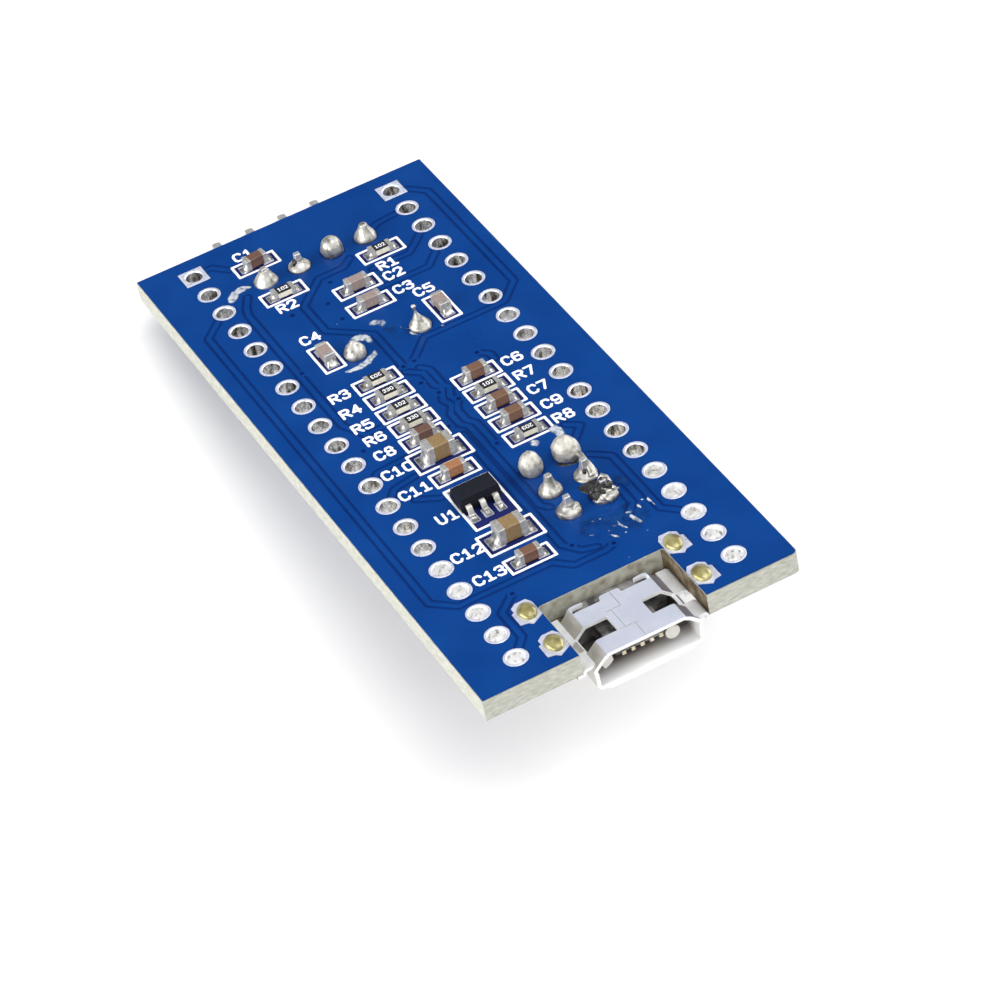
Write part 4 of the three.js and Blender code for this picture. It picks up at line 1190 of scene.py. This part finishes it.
FLUX_MARKS = [  # narrow white marks of dried flux: a path and a width
    ([(4.1, -16.5), (4.35, -16.57), (4.6, -16.6)], 0.3),
    ([(4.3, -16.8), (4.35, -17.3), (4.5, -17.9)], 0.42),
    ([(5.1, -16.2), (5.15, -16.45), (5.2, -16.7)], 0.25),
    ([(5.95, -16.0), (5.97, -16.5), (6.0, -17.1)], 0.2),
    ([(3.35, -16.8), (3.35, -17.3), (3.58, -17.9)], 0.25),
    ([(2.35, -17.7), (2.57, -18.03), (2.8, -18.3)], 0.25),
    ([(1.3, -17.0), (1.5, -17.08), (1.7, -17.1)], 0.18),
    ([(1.55, 9.0), (1.6, 8.6), (1.85, 8.3)], 0.22),
]
FLUX_SPECKS = [(2.08, -15.9), (2.57, -16.0), (1.91, -16.81), (3.02, -17.19), (2.53, -17.36), (2.27, -20.31),
               (4.45, -18.81), (5.6, -16.02), (3.28, -18.13), (1.6, 9.3), (1.3, 9.8), (3.6, 8.1),
               (-2.0, 12.9)]


def smear(path, width, seed):
    """A thin mark along a path, narrower at its ends."""
    left, right = [], []
    for k, (x, y) in enumerate(path):
        along = Vector(path[min(k + 1, len(path) - 1)]) - Vector(path[max(k - 1, 0)])
        side = Vector((-along.y, along.x)).normalized() * width / (2 if 0 < k < len(path) - 1 else 4)
        left.append((x + side.x, y + side.y))
        right.append((x - side.x, y - side.y))
    return puddle(left + right[::-1], 0.07, seed, step=0.1, feather=width / 4)


def residue():
    """Dried flux: white smears beside the joints and glossy films where more of it was used."""
    crust, film = Form(), Form()
    x, y = CRYSTAL[0].x, CRYSTAL[0].y
    for outline, thickness, seed in (
        ([(x - 0.1, y + 0.9), (x + 0.2, y + 1.6), (x + 0.95, y + 1.9), (x + 1.6, y + 1.5),
          (x + 1.7, y + 0.6), (x + 1.3, y + 0.3), (x + 1.0, y + 0.9), (x + 0.6, y + 1.05)], 0.1, 81),
        ([(x - 1.5, y - 1.2), (x - 0.3, y - 1.05), (x + 0.6, y - 0.7), (x + 1.25, y - 0.3),
          (x + 1.25, y - 0.95), (x + 0.4, y - 1.6), (x - 1.0, y - 1.7)], 0.1, 82),
        ([(-7.0, 19.9), (-6.5, 20.8), (-5.3, 21.0), (-4.85, 20.4), (-5.8, 20.2), (-6.5, 19.6)], 0.1, 83),
        ([(4.0, -6.0), (4.8, -5.9), (5.0, -7.1), (4.5, -7.8), (4.1, -6.9)], 0.07, 84),
        ([(2.3, -6.6), (2.85, -6.25), (3.25, -6.8), (2.75, -7.25)], 0.07, 85),
        ([(-0.5, 11.5), (0.3, 11.8), (0.9, 11.1), (0.5, 10.3), (-0.1, 10.9)], 0.045, 86),
    ):
        crust.add(puddle(outline, thickness, seed))
    for k, (path, width) in enumerate(FLUX_MARKS):
        crust.add(smear(path, width, 100 + k))
    for k, (x, y) in enumerate(FLUX_SPECKS):
        crust.add(smear([(x - 0.09, y), (x, y), (x + 0.09, y)], 0.18, 120 + k))
    film.add(puddle([(0.1, 10.6), (1.4, 10.7), (2.4, 10.0), (2.5, 8.3), (1.3, 7.7), (0.3, 8.5)], 0.06, 89))
    film.add(puddle([(0.6, -15.2), (2.4, -14.9), (4.2, -15.2), (5.6, -15.6), (6.0, -17.4), (4.6, -18.8),
                     (2.6, -18.6), (0.9, -17.6)], 0.08, 92, step=0.25, feather=0.7))
    film.add(puddle([(4.9, -12.2), (5.7, -12.6), (6.0, -14.2), (5.4, -14.8), (4.8, -13.6)], 0.06, 93))
    make("flux_crust", crust, ("flux",), "tinned_wire", sharp=60)
    make("flux_film", film, ("wet",), "tinned_wire", sharp=60)


# ------------------------------------------------------------------ header pins and plastics

PIN_HALF = 0.32


def square_pin(length, half=PIN_HALF, tip=0.35, neck=0.9):
    """A square pin along +z from 0 to length, pointed at the foot and drawn thin over its last part."""
    sections = (0, 0.5), (tip, 1.0), (length - neck, 1.0), (length - neck / 2, 0.72), (length, 0.62)
    return loft([[(px, py, z) for px, py in rectangle(-half * k, half * k, -half * k, half * k)]
                 for z, k in sections])


def boot_header():
    for i in range(1, 7):
        low, high = box_mm(f"boot_pin_{i}")
        foot = Matrix.Translation(((low.x + high.x) / 2, (low.y + high.y) / 2, low.z))
        pin = Form().add(square_pin(high.z - low.z), 0, foot)
        make(f"boot_pin_{i}_metal", pin, ("pin",), "tinned_wire", stands_for=[f"boot_pin_{i}"], bevel=0.04)
    low, high = box_mm("boot_header_block")
    make("boot_header_plastic", header_block(low, high, [(p.x, p.y) for p in BOOT]), ("nylon",),
         "black_plastic", stands_for=["boot_header_block"], bevel=0.05)


def header_block(low, high, centres):
    """Joined octagonal cells, one to a pin, with the pin's hole through each."""
    cut = 0.42
    half = PITCH / 2
    cell = [(-half + cut, -half), (half - cut, -half), (half, -half + cut), (half, half - cut),
            (half - cut, half), (-half + cut, half), (-half, half - cut), (-half, -half + cut)]
    loops = [[(x + px * 1.002, y + py * 1.002) for px, py in cell] for x, y in centres]
    holes = [rectangle(x - 0.34, x + 0.34, y - 0.34, y + 0.34) for x, y in centres]
    return Form().add(flattened(raised(loops, low.z, high.z, holes)))


def debug_header():
    low, high = box_mm("debug_header_block")
    stand = Matrix.Rotation(math.radians(90), 4, "X")
    centres = [(x, (low.z + high.z) / 2) for x in DEBUG_X]
    block = header_block(Vector((0, 0, -high.y)), Vector((0, 0, -low.y)), centres)
    make("debug_header_plastic", Form().join(block, stand), ("nylon",), "black_plastic",
         stands_for=["debug_header_block"], bevel=0.05)
    for i, x in enumerate(DEBUG_X):
        low, high = box_mm(f"debug_pin_{i + 1}")
        axis, turn = low.z + PIN_HALF, 0.55
        path = [(DEBUG_Y, high.z, 0.6), (DEBUG_Y, high.z - 0.5, 0.75), (DEBUG_Y, high.z - 1.0, 1.0),
                (DEBUG_Y, axis + turn, 1.0)]
        path += [(DEBUG_Y + turn - turn * math.cos(t), axis + turn - turn * math.sin(t), 1.0)
                 for t in (math.radians(a) for a in (22.5, 45, 67.5, 90))]
        path += [(high.y - 0.35, axis, 1.0), (high.y, axis, 0.5)]
        make(f"debug_pin_{i + 1}_metal", Form().add(bent_strip(path, x, PIN_HALF, 2 * PIN_HALF)), ("pin",),
             "tinned_wire", stands_for=[f"debug_pin_{i + 1}"], bevel=0.04)


def jumper_caps():
    for i in (1, 2):
        low, high = box_mm(f"jumper_cap_{i}")
        cx, cy = (low.x + high.x) / 2, (low.y + high.y) / 2
        outer = rounded(low.x, high.x, low.y, high.y, 0.3, 4)
        hollow = rectangle(low.x + 0.5, high.x - 0.5, low.y + 0.5, high.y - 0.5)
        window = rectangle(cx - 0.45, cx + 0.45, cy - 0.7, cy + 0.7)
        shell = Form().add(flattened(raised([outer], low.z + 0.4, high.z, [hollow])))
        shell.add(flattened(raised([outer], low.z, low.z + 0.4, [window])))
        for side in (-1, 1):
            y = cy + side * (high.y - low.y) / 2
            shell.add(box(cx - 0.5, cx + 0.5, *sorted((y, y + side * 0.08)), low.z + 0.8, low.z + 2.6))
        make(f"jumper_{i}_shell", shell, ("yellow",), "yellow_plastic", body=f"jumper_{i}",
             stands_for=[f"jumper_cap_{i}"], bevel=0.06)
        low, high = box_mm(f"jumper_clip_{i}")
        rim = rounded(low.x, high.x, low.y, high.y, 0.2, 3)
        bore = rounded(low.x + 0.18, high.x - 0.18, low.y + 0.18, high.y - 0.18, 0.1, 3)
        clip = Form().add(flattened(raised([rim], low.z, high.z, [bore])))
        make(f"jumper_{i}_clip", clip, ("gold",), "gold_plate", body=f"jumper_{i}",
             stands_for=[f"jumper_clip_{i}"], bevel=0.03)


# ------------------------------------------------------------------ other parts of the component side

def controller_chip():
    low, high = box_mm("controller_chip")
    centre = (low + high) / 2
    at = Matrix.Translation((centre.x, centre.y, high.z)) @ Matrix.Rotation(math.pi, 4, "X")
    at = at @ Matrix.Rotation(math.radians(45), 4, "Z")
    form = Form().add(moulded(3.5, 3.5, 0.1, 1.5, 0.72, 0.1), 0, at)
    for quarter in range(4):
        turn = Matrix.Rotation(quarter * math.pi / 2, 4, "Z")
        for k in range(12):
            place = at @ turn @ Matrix.Translation(((k - 5.5) * 0.5, 0, 0))
            form.add(gull_wing(3.5, 4.5, 0.72, 0.15, 0.11), 1, place)
    form.add(raised([circle(-2.6, -2.6, 0.38, 24)], 1.5, 1.503), 2, at)  # marks the first lead
    make("controller_package", form, ("epoxy", "end", "nylon"), "black_epoxy",
         stands_for=["controller_chip"], bevel=0.04)


def stadium(length, width, n=12):
    r, s = width / 2, (length - width) / 2
    turns = [math.pi * (k / n - 0.5) for k in range(n + 1)]
    points = [(s + r * math.cos(t), r * math.sin(t)) for t in turns]
    return points + [(-x, -y) for x, y in points]


def crystal():
    low, high = box_mm("crystal_can")
    cx, cy = (low.x + high.x) / 2, (low.y + high.y) / 2
    length, width = high.x - low.x, high.y - low.y
    profile = [(0.0, high.z), (0.0, high.z - 0.12), (0.02, high.z - 0.42), (0.1, high.z - 0.5),
               (0.36, high.z - 0.54), (0.42, high.z - 0.66), (0.42, low.z + 0.45), (0.5, low.z + 0.2),
               (0.68, low.z + 0.05), (0.9, low.z)]
    rings = []
    for inset, z in profile:
        rings.append([(cx + x, cy + y, z) for x, y in stadium(length - 2 * inset, width - 2 * inset)][::-1])
    make("crystal_can_metal", Form().add(loft(rings)), ("steel",), "plated_steel",
         stands_for=["crystal_can"], sharp=50)
    for side in ("left", "right"):
        low, high = box_mm(f"crystal_lead_{side}")
        x, y = (low.x + high.x) / 2, (low.y + high.y) / 2
        r = (high.x - low.x) / 2
        end = high.z - 0.8  # the drawn-out solder hides the rest
        wire = lathe([(0.02, low.z), (r, low.z + 0.03), (r, end - 0.03), (0.02, end)], x, y, 16)
        make(f"crystal_wire_{side}", Form().add(wire), ("solder",), "tinned_wire",
             stands_for=[f"crystal_lead_{side}"], sharp=50)


def clock_crystal():
    low, high = box_mm("clock_crystal")
    centre = (low + high) / 2
    at = Matrix.Translation((centre.x, centre.y, high.z)) @ Matrix.Rotation(math.pi, 4, "X")
    size = high - low
    form = Form().add(moulded(size.x / 2 - 0.4, size.y / 2, 0.02, size.z, 1.1, 0.12), 0, at)
    for side in (-1, 1):
        for y in (-1.0, 1.0):
            form.add(side_box(side, size.x / 2 - 0.9, size.x / 2, y - 0.35, y + 0.35, 0.0, 0.2), 1, at)
    make("clock_crystal_package", form, ("epoxy", "end"), "black_epoxy", stands_for=["clock_crystal"],
         bevel=0.08)


def lamps():
    for color in ("red", "green"):
        node = {"red": "power_led", "green": "user_led"}[color]
        low, high = box_mm(node)
        form = Form().add(box(low.x + 0.2, high.x - 0.2, low.y, high.y, high.z - 0.3, high.z))
        for side in (low.x, high.x - 0.3):
            form.add(box(side, side + 0.3, low.y, high.y, high.z - 0.28, high.z), 1)
        form.add(box(low.x + 0.25, high.x - 0.25, low.y + 0.05, high.y - 0.05, low.z, high.z - 0.28), 2)
        make(f"{node}_package", form, ("white", "end", f"{color}_resin"), f"{color}_lens", stands_for=[node],
             bevel=0.05)


def reset_switch():
    low, high = box_mm("reset_switch_base")
    cx, cy = (low.x + high.x) / 2, (low.y + high.y) / 2
    outline = rounded(low.x, high.x, low.y, high.y, 0.15, 3)
    base = Form().add(flattened(raised([outline], low.z, high.z - 0.5, [circle(cx, cy, 1.45, 32)])))
    base.add(prism(outline, high.z - 0.5, high.z))
    make("reset_base_plastic", base, ("nylon",), "black_plastic", stands_for=["reset_switch_base"],
         bevel=0.04)
    low, high = box_mm("reset_switch_cover")
    outline = rounded(low.x, high.x, low.y, high.y, 0.25, 4)
    form = Form().add(flattened(raised([outline], low.z, low.z + 0.2, [circle(cx, cy, 1.1, 32)])))
    for edge in (low.x, high.x - 0.2):
        form.add(box(edge, edge + 0.2, cy - 1.4, cy + 1.4, low.z + 0.1, high.z))
    rivet = [(0.28, low.z + 0.05), (0.28, low.z - 0.03), (0.2, low.z - 0.09), (0.02, low.z - 0.1)]
    for dx in (-1.75, 1.75):
        for dy in (-1.75, 1.75):
            form.add(lathe(rivet, cx + dx, cy + dy, 16))
    make("reset_cover_metal", form, ("steel",), "plated_steel", stands_for=["reset_switch_cover"],
         bevel=0.05)
    low, high = box_mm("reset_button")
    profile = [(0.02, high.z), (1.25, high.z), (1.3, high.z - 0.05), (1.3, high.z - 0.42),
               (0.96, high.z - 0.47), (0.95, low.z + 0.12), (0.9, low.z + 0.03), (0.75, low.z),
               (0.02, low.z)]
    knob = lathe(profile, cx, cy, 40)
    make("reset_plunger_plastic", Form().add(inside_out(knob)), ("nylon",), "black_plastic",
         body="reset_plunger", stands_for=["reset_button"], sharp=40)
    for i in range(1, 5):
        low, high = box_mm(f"reset_terminal_{i}")
        foot = Form().add(box(low.x, high.x, low.y, high.y, low.z, high.z))
        make(f"reset_terminal_{i}_metal", foot, ("end",), "tinned_wire", stands_for=[f"reset_terminal_{i}"],
             bevel=0.03)


# ------------------------------------------------------------------ the receptacle

class Fold:
    """A closed path of runs and round bends in the XZ plane that a flat pattern is wrapped round."""

    def __init__(self, corners, radius, steps=6):
        self.points = []
        for trio in zip(corners, corners[-1:] + corners[:-1], corners[1:] + corners[:1]):
            p, before, after = (Vector(corner) for corner in trio)
            u, v = (before - p).normalized(), (after - p).normalized()
            half = math.acos(max(-1, min(1, u.dot(v)))) / 2
            back = min(radius / math.tan(half), (before - p).length / 2.2, (after - p).length / 2.2)
            a, b = p + u * back, p + v * back
            self.points += [a * (1 - t) ** 2 + p * 2 * t * (1 - t) + b * t * t
                            for t in (k / steps for k in range(steps + 1))]
        self.points.append(self.points[0].copy())
        self.lengths = [0.0]
        for a, b in zip(self.points, self.points[1:]):
            self.lengths.append(self.lengths[-1] + (b - a).length)
        self.total = self.lengths[-1]

    def at(self, s):
        """The point at length s and the direction that faces out of the path."""
        s = max(0.0, min(s, self.total))
        k = max(0, min(np.searchsorted(self.lengths, s) - 1, len(self.points) - 2))
        t = (s - self.lengths[k]) / max(self.lengths[k + 1] - self.lengths[k], 1e-9)
        normals = []
        for j in (k, k + 1):
            before = self.points[j - 1 if j > 0 else -2]
            after = self.points[j + 1 if j < len(self.points) - 1 else 1]
            along = (after - before).normalized()
            normals.append(Vector((-along.y, along.x)))
        return self.points[k].lerp(self.points[k + 1], t), normals[0].lerp(normals[1], t).normalized()

    def find(self, x, upper):
        """The length at which the path passes a given x, on its upper or lower run."""
        for k, (a, b) in enumerate(zip(self.points, self.points[1:])):
            if (a.x - x) * (b.x - x) <= 0 and abs(a.x - b.x) > 1e-6 and (a.y + b.y > -3.8) == upper:
                t = (x - a.x) / (b.x - a.x)
                found = self.lengths[k] + t * (self.lengths[k + 1] - self.lengths[k])
        return found


def usb_shell():
    """Sheet steel folded round into a tube: windows, seam, lips and hooks at the rear."""
    t = 0.25
    top, bottom, shoulder = -0.65 - t / 2, -3.2 + t / 2, -1.65
    wide, narrow = 3.75 - t / 2, 2.8 - t / 2
    fold = Fold([(0.0, bottom), (-wide, bottom), (-wide, shoulder), (-narrow, top), (0.0, top),
                 (narrow, top), (wide, shoulder), (wide, bottom)], 0.35)
    total = fold.total
    front, rear = -26.6, -21.6
    left, right = fold.find(-narrow, True), fold.find(narrow, True)
    mid = (left + right) / 2
    bottom_end = fold.find(-wide + 0.5, False)
    flared = [(left - 1.5, left - 0.12, 0.3), (right + 0.12, right + 1.5, 0.3), (-9.0, bottom_end, 0.4),
              (total - bottom_end, total + 9.0, 0.4)]

    def lay(s, y, h):
        """Where a point of the flat pattern ends up: s round the tube, y along it, h through the sheet."""
        p, out = fold.at(s)
        curl = max(0.0, (front + 0.6) - y) / 0.6
        reach = max(most * min(1.0, max(0.0, min(s - a, b - s) / 0.25)) for a, b, most in flared)
        h = h + 0.38 * reach * curl**1.7
        return (p.x + out.x * h, y - 0.18 * curl * reach, p.y + out.y * h)

    outline = [(s, front) for s in np.linspace(0, total, 80)]
    outline += rear_edge(left, right, mid, total, rear)[::-1]
    windows = [rounded(left - 0.95, mid - 1.15, -25.1, -23.55, 0.08, 3),
               rounded(mid + 1.25, right + 0.95, -25.1, -23.55, 0.08, 3)]
    path = [(mid + 0.05, rear + 0.1), (mid + 0.05, -23.2), (mid - 0.65, -23.2), (mid - 0.65, -25.1),
            (mid, -25.1), (mid, front + 0.15)]
    wider = [((mid - 1.0, -23.2), (mid - 0.65, -23.2)), ((mid - 1.02, -25.1), (mid - 0.65, -25.1)),
             ((mid, -25.1), (mid + 0.24, -25.1)), path[1:3], path[3:5]]
    openings = windows + strokes(path, 0.018, 2) + [capsule(a, b, 0.035, 2) for a, b in wider]
    guides = [((s, -30), (s, -18)) for s in fold.lengths[1:-1]]
    guides += [((-1, y), (total + 1, y)) for y in (front + 0.6, front + 0.45, front + 0.3, front + 0.15)]
    verts, faces = cut_plane([outline] + openings, guides)
    centres = verts[faces].mean(axis=1)
    keep = inside(outline, centres)
    for hole in openings:
        keep &= ~inside(hole, centres)
    sheet = thick(verts, faces[keep], lay, t)
    form = Form().add(sheet)
    looks = ("steel", "tin", "mouth", "steel_side_shaded", "steel_shade", "dark_brown")
    # Painted light by facing: outer faces that look up get the lavender sheet, those that face right the
    # darkest shaded copy, and the other outer faces the mid-grey shaded copy. The cut edges get the bright
    # copy and the inner skin the mouth's painted shade.
    for k, face in enumerate(form.faces):
        a, b, c = (Vector(form.verts[v]) for v in face[:3])
        out = (b - a).cross(c - a).normalized()
        if k >= 2 * int(keep.sum()):  # the cut edges come after both sides of the sheet
            form.slots[k] = looks.index("tin")
        elif face[0] >= len(sheet[0]) // 2:
            form.slots[k] = looks.index("mouth")
        elif out.z < 0.9:
            form.slots[k] = looks.index("steel_side_shaded" if out.x < 0.3 else "steel_shade")
    ears(form, looks.index("tin"), looks.index("dark_brown"))
    make("usb_shell_sheet", form, looks, "plated_steel", stands_for=["usb_shell"], sharp=38, bevel=0.02,
         segments=1)


def rear_edge(left, right, mid, total, rear):
    """The rear edge of the pattern: a tab in the middle, a recess each side and a hook at each corner."""
    deep = -22.1
    hook = [(0.4, 0.0), (0.1, 0.12), (-0.4, 0.16), (-0.82, 0.1), (-0.9, 0.03), (-0.86, -0.05), (-0.3, -0.05),
            (-0.06, -0.1), (0.03, -0.25)]
    left_hook = [(left - ds, rear + dy) for ds, dy in hook] + [(left + 0.04, deep)]
    right_hook = [(right + ds, rear + dy) for ds, dy in hook] + [(right - 0.04, deep)]
    tab = [(mid - 0.8, deep), (mid - 0.72, deep + 0.08), (mid - 0.72, rear - 0.18),
           (mid - 0.6, rear - 0.06), (mid + 0.56, rear - 0.06), (mid + 0.68, rear - 0.18),
           (mid + 0.68, deep + 0.08), (mid + 0.76, deep)]
    return [(0.0, rear)] + left_hook + tab + right_hook[::-1] + [(total, rear)]


TONGUE_TOP, TONGUE_UNDER = -1.45, -2.05

# For each ear: its reach along the shell, the reach of its outer half, and the slot that its leg goes up.
EARS = [((-26.3, -24.8), (-25.4, -23.9), -24.5), ((-23.7, -21.2), (-22.4, -20.4), -20.9)]


def ribbon(path, half):
    """The outline of a bent strip of sheet seen from its side."""
    upper, lower = [], []
    for k, p in enumerate(path):
        before, after = path[max(k - 1, 0)], path[min(k + 1, len(path) - 1)]
        along = Vector((after[0] - before[0], after[1] - before[1])).normalized()
        upper.append((p[0] - along.y * half, p[1] + along.x * half))
        lower.append((p[0] + along.y * half, p[1] - along.x * half))
    return upper + lower[::-1]


def ears(form, tin, dark_brown):
    """Four ears that leave the sides, dip under the board and turn up through their slots."""
    under = UNDER - 0.03

    def plate(side, near, far, y0, y1, corner, slot):
        outline = rounded(*sorted((side * near, side * far)), y0, y1, corner, 3)
        form.add(prism(outline, under - 0.25, under), slot)

    section = ribbon([(3.46, -1.46), (4.16, -1.46), (4.26, -1.54), (4.3, under - 0.16), (4.4, under - 0.13),
                      (4.8, under - 0.13)], 0.12)
    for side in (-1, 1):
        plate(side, 2.4, 4.6, -21.7, NOTCH_BACK + 0.3, 0.15, dark_brown)
        for (ya, yb), (la, lb), slot_y in EARS:
            verts, faces = loft([[(side * x, y, z) for x, z in section]
                                 for y in (ya, ya + 0.08, yb - 0.08, yb)])
            form.add((verts, [f[::side] for f in faces]), tin)
            for k in range(len(faces)):
                if min(abs(verts[v][0]) for v in faces[k]) > 4.2:
                    form.slots[k - len(faces)] = dark_brown
            plate(side, 4.6, 5.3, la, lb, 0.12, tin)
            form.add(side_box(side, 5.02, 5.28, slot_y - 0.45, slot_y + 0.45, under - 0.2, 0.18), tin)


def usb_inside():
    """The moulded tongue with its stop, the five contacts and the two spring fingers."""
    low, high = box_mm("usb_tongue")
    nose, block_front = low.y, high.y - 1.05
    form = Form()
    section = [(-3.42, -2.88), (3.42, -2.88), (3.42, -1.78), (2.42, -0.98), (-2.42, -0.98), (-3.42, -1.78)]
    stop = loft([[(x, y, z) for x, z in section] for y in (block_front, high.y + 0.5)])
    form.add(inside_out(stop))
    form.add(box(-1.85, 1.85, nose, block_front + 0.2, TONGUE_UNDER, TONGUE_TOP))
    make("usb_tongue_plastic", form, ("housing",), "black_plastic", stands_for=["usb_tongue"], bevel=0.06)
    for i in range(1, 6):
        x = middle(f"usb_contact_{i}").x
        spring, tail = TONGUE_UNDER - 0.08, UNDER - 0.1
        path = [(nose - 0.02, spring + 0.24), (nose - 0.09, spring + 0.06), (nose + 0.02, spring - 0.04),
                (nose + 0.4, spring), (-21.5, spring), (-21.38, spring + 0.04), (-21.34, spring + 0.2),
                (-21.2, tail), (-19.7, tail)]
        contact = Form().add(bent_strip(path, x, 0.12, 0.12))
        make(f"usb_contact_{i}_metal", contact, ("gold",), "gold_plate", stands_for=[f"usb_contact_{i}"],
             bevel=0.02)
    tips = {"left": [(-3.1, -1.72), (-2.68, -1.3), (-2.2, -1.5), (-2.15, -1.95), (-2.45, -2.2),
                     (-2.8, -2.36)],
            "right": circle(2.0, -1.98, 0.5, 20)}
    arm = [(-25.88, -2.0), (-25.76, -1.6), (-25.74, -1.2), (-25.82, -0.96), (-26.1, -0.93)]
    for name, outline in tips.items():
        middle_x = sum(q[0] for q in outline) / len(outline)
        finger = Form().add(loft([[(x, y, z) for x, z in outline] for y in (-25.98, -25.82)]))
        finger.add(bent_strip(arm, middle_x, 0.28, 0.12))
        # The spring fingers take the mid-grey shaded copy of the sheet: painted shade inside the mouth.
        make(f"usb_finger_{name}", finger, ("steel_side_shaded",), "plated_steel", bevel=0.05)


# ------------------------------------------------------------------ studio

# The photo's camera, worked out from the forty header holes.
CAMERA_MM = Vector((-74.154, -214.771, 177.163))
CAMERA_RIGHT = Vector((0.87645, -0.45285, -0.16358))
CAMERA_DOWN = Vector((-0.40586, -0.51204, -0.75703))
CAMERA_AHEAD = Vector((0.25907, 0.72989, -0.63257))
LENS_MM = 160.1
TABLE_REACH = 1500.0
SKY_LOW, SKY_HIGH = (0.1, 0.11, 0.12), (0.56, 0.585, 0.64)


def camera():
    data = bpy.data.cameras.new("camera")
    data.lens = LENS_MM
    data.sensor_width = 36.0
    data.clip_start, data.clip_end = 0.01, 10.0
    cam = bpy.data.objects.new("camera", data)
    turn = Matrix((CAMERA_RIGHT, -CAMERA_DOWN, -CAMERA_AHEAD)).transposed()
    cam.matrix_world = Matrix.Translation(CAMERA_MM * MM) @ turn.to_4x4()
    bpy.context.scene.collection.objects.link(cam)
    bpy.context.scene.camera = cam


def floor():
    """The table: the plane that the jumper caps' far edge and the debug pins' tips touch."""
    cap_low, cap_high = box_mm("jumper_cap_1")
    pin_low, pin_high = box_mm("debug_pin_1")
    slope = (pin_low.z - cap_low.z) / (pin_high.y - cap_high.y)
    corners = rectangle(-TABLE_REACH, TABLE_REACH, -TABLE_REACH, TABLE_REACH)
    mesh = bpy.data.meshes.new("table_top")
    verts = [(x * MM, y * MM, (cap_low.z + slope * (y - cap_high.y) - 0.02) * MM) for x, y in corners]
    mesh.from_pydata(verts, [], [[0, 1, 2, 3]])
    p = look("table", "pale_table", (0.9, 0.89, 0.865), 0.8,
             tones=(60.0, [(0.3, (0.89, 0.88, 0.855)), (0.7, (0.91, 0.9, 0.875))]))
    # Seen from below, the table gives way, so that the side of the board that lies on it can be looked at.
    mix = p.node("ShaderNodeMixShader")
    for source, target in (
        (p.node("ShaderNodeNewGeometry").outputs["Backfacing"], mix.inputs["Fac"]),
        (p.shader.outputs["BSDF"], mix.inputs[1]),
        (p.node("ShaderNodeBsdfTransparent").outputs["BSDF"], mix.inputs[2]),
        (mix.outputs["Shader"], p.tree.nodes["Material Output"].inputs["Surface"]),
    ):
        p.link(source, target)
    mesh.materials.append(p.material)
    top = bpy.data.objects.new("table_top", mesh)
    bpy.context.scene.collection.objects.link(top)


def studio():
    for name, place, size, watts in (
        ("overhead", (0.14, -0.2, 0.57), (0.6, 0.6), 3.25),
        ("front_wall", (-0.1, -0.65, 0.24), (1.0, 0.4), 1.7),
        ("left_wall", (-0.65, -0.05, 0.24), (0.9, 0.4), 7.0),
        ("right_wall", (0.65, 0.05, 0.24), (0.9, 0.4), 4.0),
    ):
        data = bpy.data.lights.new(name, "AREA")
        data.shape = "RECTANGLE"
        data.size, data.size_y = size
        data.energy = watts
        light = bpy.data.objects.new(name, data)
        light.location = place
        light.rotation_mode = "QUATERNION"
        light.rotation_quaternion = (-Vector(place)).to_track_quat("-Z", "Y")
        bpy.context.scene.collection.objects.link(light)
    world = bpy.data.worlds.new("studio")
    world.use_nodes = True
    nodes, links = world.node_tree.nodes, world.node_tree.links
    direction = nodes.new("ShaderNodeTexCoord")
    split = nodes.new("ShaderNodeSeparateXYZ")
    sky = nodes.new("ShaderNodeValToRGB")
    for element, color in zip(sky.color_ramp.elements, (SKY_LOW, SKY_HIGH)):
        element.color = (*color, 1)
    sky.color_ramp.elements[0].position = 0.6
    links.new(direction.outputs["Generated"], split.inputs["Vector"])
    links.new(split.outputs["Z"], sky.inputs["Fac"])
    links.new(sky.outputs["Color"], nodes["Background"].inputs["Color"])
    bpy.context.scene.world = world
    bpy.context.scene.view_settings.view_transform = "Standard"


# ------------------------------------------------------------------ everything together

camera()
bare_board()
eyelets()
legend()
pads()
component_side()
chip_parts()
regulator()
joints()
burnt_joint()
residue()
boot_header()
debug_header()
jumper_caps()
controller_chip()
crystal()
clock_crystal()
lamps()
reset_switch()
usb_shell()
usb_inside()
floor()
studio()
